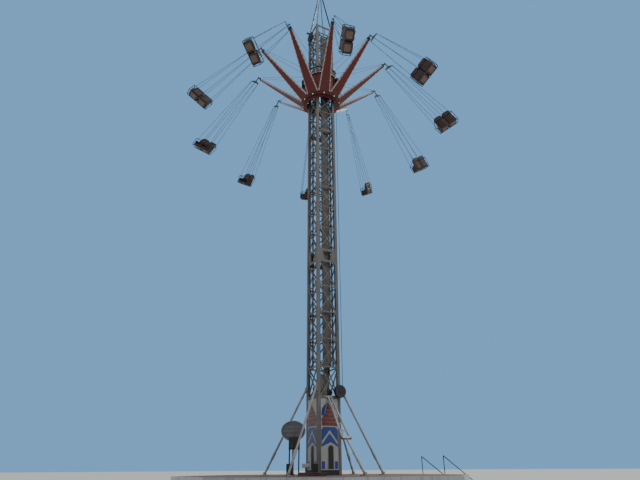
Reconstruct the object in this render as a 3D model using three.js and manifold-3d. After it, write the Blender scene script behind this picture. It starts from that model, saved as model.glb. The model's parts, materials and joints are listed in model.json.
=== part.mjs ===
// Chair swing ride: a lattice tower on a raised deck, with a carriage that climbs the tower and
// carries a turning crown of arms, from which double seats hang on chains.
// Millimetres, +Z up. The origin is on the tower's axis at ground level, and the tower's faces
// look along X and Y. The carriage stands near the top and the seats are flung out, as in a ride.
import * as THREE from "three";
import { mergeVertices } from "three/addons/utils/BufferGeometryUtils.js";
import Module from "manifold-3d";

const wasm = await Module();
wasm.setup();

// Clearances
const GAP = 0.3; // between pieces that touch
const RUN = 0.6; // at the slewing bearings
const SHOE_GAP = 0.8; // between the guide shoes and the tower's columns
const LAP = 8; // how far a member runs into the one that it is welded to

// Deck and base frame
const DECK_TOP = 1350;
const DECK_PLATE = 60;
const DECK_HALF = 6000; // from the axis to a flat side of the octagon
const DECK_EDGE = { deep: 260, thick: 60 };
const DECK_HOLE = 720;
const DECK_LEG = 100;
const DECK_LEGS = { half: 5790, perSide: 2 };
const FOOT_PAD = { half: 170, thick: 30 };
const FRAME_TOP = DECK_TOP - DECK_PLATE - GAP;
const MAIN_BEAM = { x: 520, wide: 160, deep: 300, length: 11200 };
const CROSS_BEAMS = [
  { y: 1250, reach: 3200 },
  { y: 3300, reach: 3200 },
  { y: 5300, reach: 1600 },
];
const CROSS_BEAM = { wide: 160, deep: 220 };
const JACK = 130;
const STEPS = { risers: 7, going: 290, halfWidth: 800, tread: 40, stringer: 50, rail: 900, post: 45 };

// Tower
const TOWER_HALF = 580;
const COLUMN = 140;
const FACE_BAR = { centre: 545, wide: 60 };
const FACE = { thick: 40, edge: 8, brace: 54 };
const INNER_RAIL = { at: 355, wide: 56 };
const BASE_PLATE = { half: 640, thick: 40 };
const BASE_TOP = 4560; // middle of the beam over the base panels
const BASE_BEAM = 130;
const PANEL = { thick: 30, inset: 5 };
const LOWER_TOP = 11200;
const LOWER_BAYS = 5;
const COLLAR_TOP = 11800;
const COLLAR_WINDOW = { low: 170, high: 250 };
const MIDDLE_TOP = 19350;
const UPPER_TOP = 26900;
const UPPER_BAYS = 6;
const RAIL_BOTTOM = 5900;
const HEAD_TOP = 27500;
const HEAD_BAR = 90;
const HEAD_POST = 40;
const TIE_EVERY = 3; // bays between the ties that hold the inner rails
const APEX = 31600;
const SPIRE = { cap: 260, capRadius: 62, meet: 120, foot: 65, footThick: 24, stout: 42, slim: 26 };
const TRAY = { x0: -160, x1: 290, thick: 60, wall: 14, bottom: 5960, top: 26800 };
const SHEAVE = {
  y: 150,
  z: 26940,
  back: { thick: 24, near: -60, far: 575, half: 330 },
  wheel: { radius: 240, reach: 150 },
  hub: { radius: 70, reach: 190 },
  beam: { z: 27230, half: 38, reach: 330 },
};

// Braces and fittings at the base
const DRIVE = {
  bearer: { y: 200, half: 40, low: 4505 },
  base: { half: 425, front: -430, back: 300, low: 4592, high: 4625 },
  tank: { left: -400, right: -40, front: -250, back: 270, high: 5060 },
  cabinet: { left: -400, right: -20, front: -420, back: -270, high: 5560 },
  motor: { x: 190, z: 4800, radius: 125, front: -260, back: 120 },
  pump: { half: 85, back: 265 },
};
const BOLTED_PLATE = { thick: 24, half: 65, high: 300 };
const DECK_FOOT = { pad: 140, thick: 30, block: 55, high: 140, eye: 70 };
const STRUT = { foot: [2250, 1250], head: 4970, radius: 48 };
const STRUT_LUG = { reach: 100, half: 35, high: 160, eye: 50 };
const RAISING = {
  topHalf: 60,
  halfWidth: 175,
  rail: 60,
  rung: 340,
  rungHalf: 20,
  head: 4540,
  headPlate: { half: 200, high: 120, thick: 24 },
  mid: [-2000, 2760],
  yoke: { half: 200, size: 90 },
  prop: 36,
  foot: [-3350, DECK_TOP + DECK_FOOT.eye],
};
const REEL = { x: 470, y: -745, z: 4800, flange: 275, core: 133, half: 60, rim: 20, axle: 60, cable: 12 };
const REEL_PLATE = { thick: 20, half: 140 };
const BOARD = { x: -1495, y: -5, z: 3117, halfWide: 532, halfHigh: 415, thick: 60, facing: -117.8 };
const BOARD_POST = { behind: 60, radius: 45, over: 250, foot: 105, footThick: 25 };
const CABINET = { x: -1548, y: -250, wide: 460, deep: 360, low: 2360, high: 2830, legInset: 30, leg: 40 };

// Carriage, slewing ring and crown
const DRUM = { outer: 885, inner: 850, low: 21480, high: 23480, sides: 24 };
const DRUM_WINDOWS = { azimuths: [17, 62, 107], half: 240, low: 21960, high: 23080 };
const DRUM_FLANGE = { radius: 1000, thick: 60 };
const TOP_FLANGE = { radius: 955, z: 23300, thick: 60 };
const SHOE = { near: 440, far: 540, reach: 680, high: 160, levels: [21600, 23300] };
const MOTORS = [
  { name: "slew_motor_front", azimuth: -45 },
  { name: "slew_motor_left", azimuth: 165 },
];
const MOTOR = { at: 1060, radius: 105, low: 22590, high: 23230, fanRadius: 75, fanHigh: 55 };
const MOTOR_PLATE = { thick: 30, half: 150, halfHigh: 160 };
const MOTOR_BRACKET = { half: 90, halfHigh: 60 };
const ARMS = 10;
const SLEW_RING = { outer: 1050, inner: 905, high: 200, crown: 1085, crownTop: 21800 };
const CROWN_RING = { crown: 960, inner: 905, base: 100, rim: 50, top: 23800, near: 915, half: 40 };
const ARM_ROOT = { half: 345, low: 21684, high: 21764 };
const ARM_TIP = { x: 3925, half: 88, low: 24121, high: 24201 };
const STAY = { radius: 9, spread: 210, tipSpread: 48, block: 30, level: 23730 };
const STAY_LUG = { back: 90, rise: 30, behind: 40, ahead: 25, half: 14, sunk: 121, over: 20 };

// Hanging seats
const PIVOT = { radius: 4000, z: 24300, pin: 15, play: 0.5, boss: 36, ear: 14, halfGap: 32 };
const EAR = { nose: 40, angles: [-63, -24, 24, 63], back: 60, low: 5, high: 70 };
const FLUNG = 32.8; // degrees from the vertical
const SPREADER = { neck: 280, shank: 26, base: 450, edge: 50, half: 280, thick: 44, eyeInset: 22 };
const SEAT_LEVEL = 6010; // from the pivot down to the seat's surface
const SEAT = { half: 560, wall: 36, under: 100, high: 720, back: -250, front: 262 };
const TUB_CORNER = { bottom: 90, top: 200, back: 110, front: 150, steps: 3 };
const FRAME_HALF = 600;
const TUBE = 17;
const CHAIN = 9;
const UNDER_SEAT = -SEAT.under - GAP - TUBE;

// Outlines seen from the side, as [forward, up] from the middle of the seat's surface
const FRAME_SIDE = [
  [-217, UNDER_SEAT - TUBE - 2],
  [207, UNDER_SEAT - TUBE - 2],
  [235, 350],
  [-300, 560],
];
const CROSS_TUBES = [
  [186, UNDER_SEAT],
  [-196, UNDER_SEAT],
  [210, 325],
  [-275, 509],
];
const CHAIN_SPREAD = 500;
const SHELL_SIDE = [
  [-215, -SEAT.under],
  [215, -SEAT.under],
  [262, -60],
  [262, 5],
  [205, 225],
  [-60, 265],
  [-130, 420],
  [-175, 700],
  [-222, 720],
  [-236, 690],
  [-228, 300],
  [-250, 0],
];
const SHELL_HOLLOW = [
  [-150, 36],
  [-105, 0],
  [170, -6],
  [268, 12],
  [400, 12],
  [400, 900],
  [-195, 900],
  [-190, 690],
  [-176, 300],
];

// Colours
const finish = (colour, roughness, metalness) =>
  new THREE.MeshStandardMaterial({ color: colour, roughness, metalness });
const paint = {
  grey: () => finish(0xb9bcbc, 0.5, 0.2),
  rail: () => finish(0x3b3f44, 0.6, 0.4),
  white: () => finish(0xe4e6e4, 0.5, 0.0),
  red: () => finish(0x8e1f1a, 0.45, 0.1),
  steel: () => finish(0x7d8084, 0.4, 0.8),
  shell: () => finish(0x6b2320, 0.5, 0.0),
  black: () => finish(0x1c1d20, 0.6, 0.1),
  deck: () => finish(0x8a2b26, 0.7, 0.1),
};

const radians = THREE.MathUtils.degToRad;
const SIGNS = [-1, 1];

// The two limits of a member on one side of the axis, in rising order.
const span = (side, near, far) => (side < 0 ? [-far, -near] : [near, far]);

// A closed geometry as a solid.
function solid(geometry) {
  const bare = geometry.clone();
  bare.deleteAttribute("normal");
  bare.deleteAttribute("uv");
  const merged = mergeVertices(bare, 1e-3);
  return new wasm.Manifold(
    new wasm.Mesh({
      numProp: 3,
      vertProperties: new Float32Array(merged.attributes.position.array),
      triVerts: new Uint32Array(merged.index.array),
    }),
  );
}

const fuse = (solids) => solids.reduce((whole, piece) => whole.add(piece));

// A named mesh of a solid.
function mesh(name, body, material) {
  const { vertProperties, triVerts } = body.getMesh();
  const geometry = new THREE.BufferGeometry();
  geometry.setAttribute("position", new THREE.BufferAttribute(new Float32Array(vertProperties), 3));
  geometry.setIndex(new THREE.BufferAttribute(new Uint32Array(triVerts), 1));
  geometry.computeVertexNormals();
  const made = new THREE.Mesh(geometry, material);
  made.name = name;
  return made;
}

function box(x0, x1, y0, y1, z0, z1) {
  const geometry = new THREE.BoxGeometry(x1 - x0, y1 - y0, z1 - z0);
  geometry.translate((x0 + x1) / 2, (y0 + y1) / 2, (z0 + z1) / 2);
  return solid(geometry);
}

// Turns a geometry made along +X so that it runs from one point to another.
function aim(geometry, from, to, across) {
  const a = new THREE.Vector3(...from);
  const b = new THREE.Vector3(...to);
  const along = b.clone().sub(a).normalize();
  const side = new THREE.Vector3(...across);
  side.addScaledVector(along, -side.dot(along)).normalize();
  const basis = new THREE.Matrix4().makeBasis(along, side, along.clone().cross(side));
  geometry.applyMatrix4(basis);
  geometry.translate((a.x + b.x) / 2, (a.y + b.y) / 2, (a.z + b.z) / 2);
  return geometry;
}

const distance = (from, to) => new THREE.Vector3(...from).distanceTo(new THREE.Vector3(...to));

// A rectangular bar between two points: `wide` lies along `across`.
function bar(from, to, wide, deep, across) {
  return solid(aim(new THREE.BoxGeometry(distance(from, to), wide, deep), from, to, across));
}

// A round bar between two points.
function rod(from, to, radius, sides = 8) {
  const geometry = new THREE.CylinderGeometry(radius, radius, distance(from, to), sides);
  geometry.rotateZ(-Math.PI / 2);
  const lies = Math.abs(to[2] - from[2]) < 0.9 * distance(from, to);
  return solid(aim(geometry, from, to, lies ? [0, 0, 1] : [0, 1, 0]));
}

const polygon = (sides, radius, phase = 0) =>
  Array.from({ length: sides }, (_, i) => {
    const angle = phase + (2 * Math.PI * i) / sides;
    return new THREE.Vector2(radius * Math.cos(angle), radius * Math.sin(angle));
  });

// A polygon whose flat sides lie at a distance from the centre, one of them facing +X.
const flatPolygon = (sides, apothem) =>
  polygon(sides, apothem / Math.cos(Math.PI / sides), Math.PI / sides);

// A plate between two levels, with an optional hole.
function plate(outline, z0, z1, hole) {
  const shape = new THREE.Shape(outline);
  if (hole) shape.holes.push(new THREE.Path(hole));
  const geometry = new THREE.ExtrudeGeometry(shape, { depth: z1 - z0, bevelEnabled: false });
  geometry.translate(0, 0, z0);
  return solid(geometry);
}

const vectors = (points) => points.map(([x, y]) => new THREE.Vector2(x, y));

function outlineOf(points, holes = []) {
  const shape = new THREE.Shape(vectors(points));
  for (const hole of holes) shape.holes.push(new THREE.Path(vectors(hole)));
  return shape;
}

// An outline in the XZ plane, thickened from y0 to y1 and turned about Z by quarter turns.
function plateXZ(points, y0, y1, holes, quarters = 0) {
  const shape = outlineOf(points, holes);
  const geometry = new THREE.ExtrudeGeometry(shape, { depth: y1 - y0, bevelEnabled: false });
  geometry.rotateX(Math.PI / 2);
  geometry.translate(0, y1, 0);
  geometry.rotateZ((quarters * Math.PI) / 2);
  return solid(geometry);
}

// An outline in the YZ plane, thickened from x0 to x1.
function plateYZ(points, x0, x1, holes) {
  const shape = outlineOf(points, holes);
  const geometry = new THREE.ExtrudeGeometry(shape, { depth: x1 - x0, bevelEnabled: false });
  geometry.rotateX(Math.PI / 2);
  geometry.rotateZ(Math.PI / 2);
  geometry.translate(x0, 0, 0);
  return solid(geometry);
}

const square = (half) => [
  new THREE.Vector2(-half, -half),
  new THREE.Vector2(half, -half),
  new THREE.Vector2(half, half),
  new THREE.Vector2(-half, half),
];

// A straight taper along X between two upright rectangles.
function taper(x0, end0, x1, end1) {
  const geometry = new THREE.BoxGeometry(1, 2, 1);
  const place = geometry.attributes.position;
  for (let i = 0; i < place.count; i += 1) {
    const [x, end] = place.getX(i) < 0 ? [x0, end0] : [x1, end1];
    place.setXYZ(i, x, place.getY(i) * end.half, place.getZ(i) < 0 ? end.low : end.high);
  }
  return solid(geometry);
}

// Base

function footedPost(x, y, half, top) {
  const { half: pad, thick } = FOOT_PAD;
  return box(x - half, x + half, y - half, y + half, thick / 2, top).add(
    box(x - pad, x + pad, y - pad, y + pad, 0, thick),
  );
}

function baseFrame() {
  const bars = [];
  const beamHalf = MAIN_BEAM.wide / 2;
  const low = FRAME_TOP - CROSS_BEAM.deep;
  for (const side of SIGNS) {
    const [x0, x1] = span(side, MAIN_BEAM.x - beamHalf, MAIN_BEAM.x + beamHalf);
    const reach = MAIN_BEAM.length / 2;
    bars.push(box(x0, x1, -reach, reach, FRAME_TOP - MAIN_BEAM.deep, FRAME_TOP));
    for (const beam of CROSS_BEAMS) {
      const y = side * beam.y;
      const half = CROSS_BEAM.wide / 2;
      bars.push(box(-beam.reach, beam.reach, y - half, y + half, low, FRAME_TOP));
      for (const end of SIGNS) {
        bars.push(footedPost(end * (beam.reach - JACK), y, JACK / 2, low + LAP));
      }
    }
  }
  bars.push(plate(square(BASE_PLATE.half), FRAME_TOP - BASE_PLATE.thick, FRAME_TOP));
  return fuse(bars);
}

function deck() {
  const low = DECK_TOP - DECK_PLATE;
  const edgeLow = DECK_TOP - DECK_EDGE.deep;
  const inner = flatPolygon(8, DECK_HALF - DECK_EDGE.thick);
  const pieces = [
    plate(flatPolygon(8, DECK_HALF), low, DECK_TOP, square(DECK_HOLE)),
    plate(flatPolygon(8, DECK_HALF), edgeLow, low + LAP, inner),
  ];
  const corners = flatPolygon(8, DECK_LEGS.half);
  corners.forEach((corner, i) => {
    const next = corners[(i + 1) % corners.length];
    for (let k = 0; k < DECK_LEGS.perSide; k += 1) {
      const at = corner.clone().lerp(next, k / DECK_LEGS.perSide);
      pieces.push(footedPost(at.x, at.y, DECK_LEG / 2, low + LAP));
    }
  });
  return fuse(pieces);
}

function entranceSteps() {
  const rise = DECK_TOP / STEPS.risers;
  const start = DECK_HALF + GAP;
  const end = start + STEPS.going * (STEPS.risers - 1);
  const pieces = [];
  for (let k = 1; k < STEPS.risers; k += 1) {
    const x = end - STEPS.going * k;
    const half = STEPS.halfWidth + LAP;
    pieces.push(box(x, x + STEPS.going, -half, half, rise * k - STEPS.tread, rise * k));
  }
  const stringer = [
    [start, DECK_TOP - STEPS.tread],
    [start, DECK_TOP - 2 * rise],
    [end - 2 * STEPS.going, 0],
    [end, 0],
    [end, rise],
  ];
  for (const side of SIGNS) {
    const [y0, y1] = span(side, STEPS.halfWidth, STEPS.halfWidth + STEPS.stringer);
    pieces.push(plateXZ(stringer, y0, y1));
    const y = (y0 + y1) / 2;
    const feet = [
      [start + STEPS.post, y, DECK_TOP - rise],
      [end - STEPS.post, y, rise / 2],
    ];
    const tops = feet.map(([x, , z]) => [x, y, z + rise / 2 + STEPS.rail]);
    feet.forEach((foot, i) => pieces.push(rod(foot, tops[i], STEPS.post / 2, 6)));
    pieces.push(rod(tops[0], tops[1], STEPS.post / 2, 6));
  }
  return fuse(pieces);
}

// Tower

function columns(z0, z1) {
  return SIGNS.flatMap((sx) =>
    SIGNS.map((sy) => {
      const [x0, x1] = span(sx, TOWER_HALF - COLUMN, TOWER_HALF);
      const [y0, y1] = span(sy, TOWER_HALF - COLUMN, TOWER_HALF);
      return box(x0, x1, y0, y1, z0, z1);
    }),
  );
}

const innerRails = (z0, z1) => {
  const { at, wide } = INNER_RAIL;
  const half = wide / 2;
  return SIGNS.flatMap((sx) =>
    SIGNS.map((sy) => box(sx * at - half, sx * at + half, sy * at - half, sy * at + half, z0, z1)),
  );
};

// Four beams from column to column at one level.
function ring(z, deep) {
  const reach = TOWER_HALF - COLUMN + LAP;
  const half = FACE_BAR.wide / 2;
  return SIGNS.flatMap((side) => {
    const [a, b] = span(side, FACE_BAR.centre - half, FACE_BAR.centre + half);
    return [
      box(-reach, reach, a, b, z - deep / 2, z + deep / 2),
      box(a, b, -reach, reach, z - deep / 2, z + deep / 2),
    ];
  });
}

// Two ties through the tower that hold the inner rails.
const ties = (z) =>
  SIGNS.map((side) => {
    const y = side * INNER_RAIL.at;
    const half = INNER_RAIL.wide / 2;
    return box(-FACE_BAR.centre, FACE_BAR.centre, y - half, y + half, z - half, z + half);
  });

// The four openings that crossed braces leave in a bay.
function bayOpenings(z0, z1) {
  const reach = TOWER_HALF - COLUMN - FACE.edge;
  const middle = (z0 + z1) / 2;
  const rise = (z1 - z0) / 2;
  const slope = rise / reach;
  const offset = (FACE.brace / 2) * Math.hypot(1, slope);
  const inset = offset / slope;
  return SIGNS.flatMap((side) => [
    [
      [0, middle + side * offset],
      [reach - inset, middle + side * rise],
      [inset - reach, middle + side * rise],
    ],
    [
      [side * inset, middle],
      [side * reach, middle + rise - offset],
      [side * reach, middle - rise + offset],
    ],
  ]);
}

const faceOutline = (z0, z1) => {
  const reach = TOWER_HALF - COLUMN + LAP;
  return [
    [-reach, z0],
    [reach, z0],
    [reach, z1],
    [-reach, z1],
  ];
};

// One plate on each of the four faces, with the same openings.
const facePlates = (z0, z1, openings) => {
  const near = FACE_BAR.centre - FACE.thick / 2;
  return [0, 1, 2, 3].map((quarters) =>
    plateXZ(faceOutline(z0, z1), near, near + FACE.thick, openings, quarters),
  );
};

// A length of lattice tower, with a bar across each face between bays.
function lattice(z0, z1, bays, railFrom) {
  const half = FACE_BAR.wide / 2;
  const pitch = (z1 - z0 - FACE_BAR.wide) / bays;
  const pieces = innerRails(Math.max(z0, railFrom), z1);
  const openings = [];
  for (let i = 0; i <= bays; i += 1) {
    const z = z0 + half + i * pitch;
    if (z > railFrom && i % TIE_EVERY === 0) pieces.push(...ties(z));
    if (i < bays) openings.push(...bayOpenings(z + half, z + pitch - half));
  }
  return [...pieces, ...facePlates(z0, z1, openings)];
}

function towerLower() {
  const foot = DECK_TOP - DECK_PLATE;
  return fuse([
    plate(square(BASE_PLATE.half), foot, foot + BASE_PLATE.thick),
    ...columns(foot + BASE_PLATE.thick / 2, LOWER_TOP),
    ...ring(BASE_TOP, BASE_BEAM),
    ...lattice(BASE_TOP, LOWER_TOP, LOWER_BAYS, RAIL_BOTTOM),
  ]);
}

const towerUpper = (z0, z1) => fuse([...columns(z0, z1), ...lattice(z0, z1, UPPER_BAYS, 0)]);

// The bolted joint between the lower and the middle tower: a window in a plate on each face.
function spliceCollar() {
  const z0 = LOWER_TOP + GAP;
  const z1 = COLLAR_TOP - GAP;
  const window = [
    [-COLLAR_WINDOW.low, z0 + FACE_BAR.wide],
    [COLLAR_WINDOW.low, z0 + FACE_BAR.wide],
    [COLLAR_WINDOW.high, z1 - FACE_BAR.wide],
    [-COLLAR_WINDOW.high, z1 - FACE_BAR.wide],
  ];
  return fuse([
    ...columns(z0, z1),
    ...innerRails(z0, z1),
    ...ties(z1 - FACE_BAR.wide / 2),
    ...facePlates(z0, z1, [window]),
  ]);
}

function headFrame() {
  const z0 = UPPER_TOP + GAP;
  const ringLevel = HEAD_TOP - HEAD_BAR / 2;
  const half = HEAD_POST / 2;
  const posts = SIGNS.flatMap((side) => {
    const [a, b] = span(side, FACE_BAR.centre - half, FACE_BAR.centre + half);
    return [box(-half, half, a, b, z0, ringLevel), box(a, b, -half, half, z0, ringLevel)];
  });
  return fuse([...columns(z0, HEAD_TOP), ...ring(ringLevel, HEAD_BAR), ...posts]);
}

function spire() {
  const corner = TOWER_HALF - COLUMN / 2;
  const z0 = HEAD_TOP + GAP;
  const pieces = [rod([0, 0, APEX - SPIRE.cap], [0, 0, APEX], SPIRE.capRadius, 8)];
  for (const sx of SIGNS) {
    for (const sy of SIGNS) {
      const [x, y] = [sx * corner, sy * corner];
      const radius = sx === sy ? SPIRE.slim : SPIRE.stout;
      const foot = SPIRE.foot;
      pieces.push(box(x - foot, x + foot, y - foot, y + foot, z0, z0 + SPIRE.footThick));
      pieces.push(rod([x, y, z0 + SPIRE.footThick / 2], [0, 0, APEX - SPIRE.meet], radius, 6));
    }
  }
  return fuse(pieces);
}

// The hoist's sheave on a plate that is bolted to one column, with a lifting beam over it.
function headSheave() {
  const { y, z, back, wheel, hub, beam } = SHEAVE;
  const face = -TOWER_HALF - GAP;
  const inner = face - back.thick / 2;
  const { half } = beam;
  return fuse([
    box(face - back.thick, face, back.near, back.far, z - back.half, z + back.half),
    rod([inner, y, z], [face - wheel.reach, y, z], wheel.radius, 20),
    rod([inner, y, z], [face - hub.reach, y, z], hub.radius, 10),
    box(face - beam.reach, inner, y - half, y + half, beam.z - half, beam.z + half),
  ]);
}

function cableTray() {
  const { x0, x1, thick, wall, bottom, top } = TRAY;
  const y = -INNER_RAIL.at + INNER_RAIL.wide / 2 + GAP;
  const tray = box(x0, x1, y, y + thick, bottom, top);
  return tray.subtract(box(x0 + wall, x1 - wall, y + wall, y + thick + LAP, bottom - LAP, top + LAP));
}

// The hydraulic drive and its switch cabinet, on two bearers between the beams over the base panels.
function driveUnit() {
  const { bearer, base, tank, cabinet, motor, pump } = DRIVE;
  const reach = FACE_BAR.centre - FACE_BAR.wide / 2 - GAP;
  const sunk = base.high - LAP;
  const pieces = SIGNS.map((side) => {
    const y = side * bearer.y;
    return box(-reach, reach, y - bearer.half, y + bearer.half, bearer.low, base.low + LAP);
  });
  for (const { left, right, front, back, high } of [tank, cabinet]) {
    pieces.push(box(left, right, front, back, sunk, high));
  }
  pieces.push(
    box(-base.half, base.half, base.front, base.back, base.low, base.high),
    box(motor.x - pump.half, motor.x + pump.half, motor.front + LAP, pump.back, sunk, motor.z),
    rod([motor.x, motor.front, motor.z], [motor.x, motor.back, motor.z], motor.radius, 16),
    rod([motor.x, motor.back - LAP, motor.z], [motor.x, pump.back, motor.z], pump.half, 12),
  );
  return fuse(pieces);
}

function basePanel(side) {
  const half = TOWER_HALF - COLUMN - GAP;
  const z0 = DECK_TOP - DECK_PLATE + BASE_PLATE.thick + GAP;
  const z1 = BASE_TOP - BASE_BEAM / 2 - GAP;
  const far = TOWER_HALF - PANEL.inset;
  const panel = mesh(side.name, box(-half, half, -far, -far + PANEL.thick, z0, z1), paint.white());
  panel.rotation.z = radians(side.turn);
  return panel;
}

// Fittings at the base

// A pad and a block on the deck, which hold the foot of a raking member.
const deckFoot = (x, y) => {
  const { pad, thick, block, high } = DECK_FOOT;
  return [
    box(x - pad, x + pad, y - pad, y + pad, DECK_TOP + GAP, DECK_TOP + thick),
    box(x - block, x + block, y - block, y + block, DECK_TOP + thick / 2, DECK_TOP + high),
  ];
};

// A raking strut from a plate on a column down to the deck.
function strut(sx, sy) {
  const { head, radius } = STRUT;
  const lug = STRUT_LUG;
  const { thick, half, high } = BOLTED_PLATE;
  const face = TOWER_HALF + GAP;
  const y = sy * (TOWER_HALF - COLUMN / 2);
  const [x0, x1] = span(sx, face, face + thick);
  const [x2, x3] = span(sx, face + thick / 2, face + lug.reach);
  const [footX, footY] = [sx * STRUT.foot[0], sy * STRUT.foot[1]];
  return fuse([
    box(x0, x1, y - half, y + half, head - high / 2, head + high / 2),
    box(x2, x3, y - lug.half, y + lug.half, head - lug.high / 2, head + lug.high / 2),
    rod([sx * (face + lug.eye), y, head], [footX, footY, DECK_TOP + DECK_FOOT.eye], radius, 8),
    ...deckFoot(footX, footY),
  ]);
}

// The ladder frame and prop that raise the tower and then brace its front.
function raisingFrame() {
  const { topHalf, halfWidth, rail, rungHalf, head, headPlate, mid, yoke, prop, foot } = RAISING;
  const face = -FACE_BAR.centre - FACE_BAR.wide / 2 - GAP;
  const top = [face - rail / 2, head];
  const high = headPlate.high / 2;
  const pieces = [
    box(-headPlate.half, headPlate.half, face - headPlate.thick, face, BASE_TOP - high, BASE_TOP + high),
    bar([-yoke.half, ...mid], [yoke.half, ...mid], yoke.size, yoke.size, [0, 1, 1]),
    rod([0, ...mid], [0, ...foot], prop, 8),
    ...deckFoot(0, foot[0]),
  ];
  for (const side of SIGNS) {
    pieces.push(bar([side * topHalf, ...top], [side * halfWidth, ...mid], rail, rail, [1, 0, 0]));
  }
  const rungs = Math.floor(Math.hypot(top[0] - mid[0], top[1] - mid[1]) / RAISING.rung);
  for (let i = 1; i < rungs; i += 1) {
    const y = THREE.MathUtils.lerp(top[0], mid[0], i / rungs);
    const z = THREE.MathUtils.lerp(top[1], mid[1], i / rungs);
    const half = THREE.MathUtils.lerp(topHalf, halfWidth, i / rungs);
    pieces.push(box(-half, half, y - rungHalf, y + rungHalf, z - rungHalf, z + rungHalf));
  }
  return fuse(pieces);
}

function cableReel() {
  const { x, y, z, flange, core, half, rim, axle } = REEL;
  const face = -TOWER_HALF - GAP;
  const back = REEL_PLATE;
  const pieces = [
    box(TOWER_HALF - COLUMN, TOWER_HALF, face - back.thick, face, z - back.half, z + back.half),
    rod([x, face - back.thick / 2, z], [x, y + half, z], axle, 10),
    rod([x, y + half, z], [x, y - half, z], core, 20),
  ];
  for (const side of SIGNS) {
    const [a, b] = span(side, half - rim / 2, half + rim / 2);
    pieces.push(rod([x, y + a, z], [x, y + b, z], flange, 20));
  }
  return fuse(pieces);
}

function reelCable() {
  const x = REEL.x + REEL.core + REEL.cable + GAP;
  return rod([x, REEL.y, REEL.z], [x, REEL.y, DRUM.low - GAP], REEL.cable, 8);
}

// An oval board that faces the visitors, on a post.
function ovalBoard() {
  const { z, halfWide, halfHigh, thick } = BOARD;
  const { behind, over, radius, foot, footThick } = BOARD_POST;
  const face = new THREE.CylinderGeometry(1, 1, thick, 28);
  face.scale(halfWide, 1, halfHigh);
  face.translate(0, 0, z);
  return fuse([
    solid(face),
    rod([0, behind, DECK_TOP + footThick / 2], [0, behind, z + over], radius, 8),
    box(-foot, foot, behind - foot, behind + foot, DECK_TOP + GAP, DECK_TOP + footThick),
  ]);
}

function cabinet() {
  const { wide, deep, low, high, leg, legInset } = CABINET;
  const pieces = [box(-wide / 2, wide / 2, -deep / 2, deep / 2, low, high)];
  for (const sx of SIGNS) {
    for (const sy of SIGNS) {
      const [x, y] = [sx * (wide / 2 - legInset), sy * (deep / 2 - legInset)];
      const half = leg / 2;
      pieces.push(box(x - half, x + half, y - half, y + half, DECK_TOP + GAP, low + LAP));
    }
  }
  return fuse(pieces);
}

// Carriage

function carriageDrum() {
  const round = (radius) => polygon(DRUM.sides, radius, Math.PI / DRUM.sides);
  const flangeHole = round(DRUM.inner + LAP);
  const { thick } = DRUM_FLANGE;
  const pieces = [
    plate(round(DRUM.outer), DRUM.low, DRUM.high, round(DRUM.inner)),
    plate(round(DRUM_FLANGE.radius), DRUM.low, DRUM.low + thick, flangeHole),
    plate(round(TOP_FLANGE.radius), TOP_FLANGE.z, TOP_FLANGE.z + TOP_FLANGE.thick, flangeHole),
  ];
  for (const level of SHOE.levels) {
    for (const side of SIGNS) {
      const [a, b] = span(side, TOWER_HALF + SHOE_GAP, SHOE.reach);
      for (const end of SIGNS) {
        const [c, d] = span(end, SHOE.near, SHOE.far);
        pieces.push(box(a, b, c, d, level, level + SHOE.high));
        pieces.push(box(c, d, a, b, level, level + SHOE.high));
      }
    }
  }
  const { azimuths, half, low, high } = DRUM_WINDOWS;
  const window = box(DRUM.outer / 2, DRUM.outer + LAP, -half, half, low, high);
  return azimuths.reduce((whole, azimuth) => whole.subtract(window.rotate([0, 0, azimuth])), fuse(pieces));
}

function slewMotor() {
  const { at, radius, low, high, fanRadius, fanHigh } = MOTOR;
  const seat = DRUM.outer * Math.cos(Math.PI / DRUM.sides) + GAP;
  const { thick, half, halfHigh } = MOTOR_PLATE;
  const bracket = MOTOR_BRACKET;
  const middle = (low + high) / 2;
  const start = seat + thick / 2;
  return fuse([
    box(seat, seat + thick, -half, half, middle - halfHigh, middle + halfHigh),
    box(start, at, -bracket.half, bracket.half, middle - bracket.halfHigh, middle + bracket.halfHigh),
    rod([at, 0, low], [at, 0, high], radius, 14),
    rod([at, 0, high - LAP], [at, 0, high + fanHigh], fanRadius, 10),
  ]);
}

// Turning crown

function slewRing() {
  const z0 = DRUM.low + DRUM_FLANGE.thick + RUN;
  const hole = polygon(DRUM.sides, SLEW_RING.inner);
  return plate(polygon(40, SLEW_RING.outer), z0, z0 + SLEW_RING.high, hole).add(
    plate(flatPolygon(ARMS, SLEW_RING.crown), z0 + LAP, SLEW_RING.crownTop, hole),
  );
}

// The upper ring: uprights between two rims hold the stays.
function crownRing() {
  const { crown, inner, base, rim, top, near, half } = CROWN_RING;
  const z0 = TOP_FLANGE.z + TOP_FLANGE.thick + RUN;
  const outline = flatPolygon(ARMS, crown);
  const hole = polygon(DRUM.sides, inner);
  const pieces = [plate(outline, z0, z0 + base, hole), plate(outline, top - rim, top, hole)];
  for (const side of SIGNS) {
    const [y0, y1] = span(side, STAY.spread - half, STAY.spread + half);
    const upright = box(near, crown, y0, y1, z0 + LAP, top - LAP);
    for (let i = 0; i < ARMS; i += 1) pieces.push(upright.rotate([0, 0, (360 * i) / ARMS]));
  }
  return fuse(pieces);
}

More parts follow.
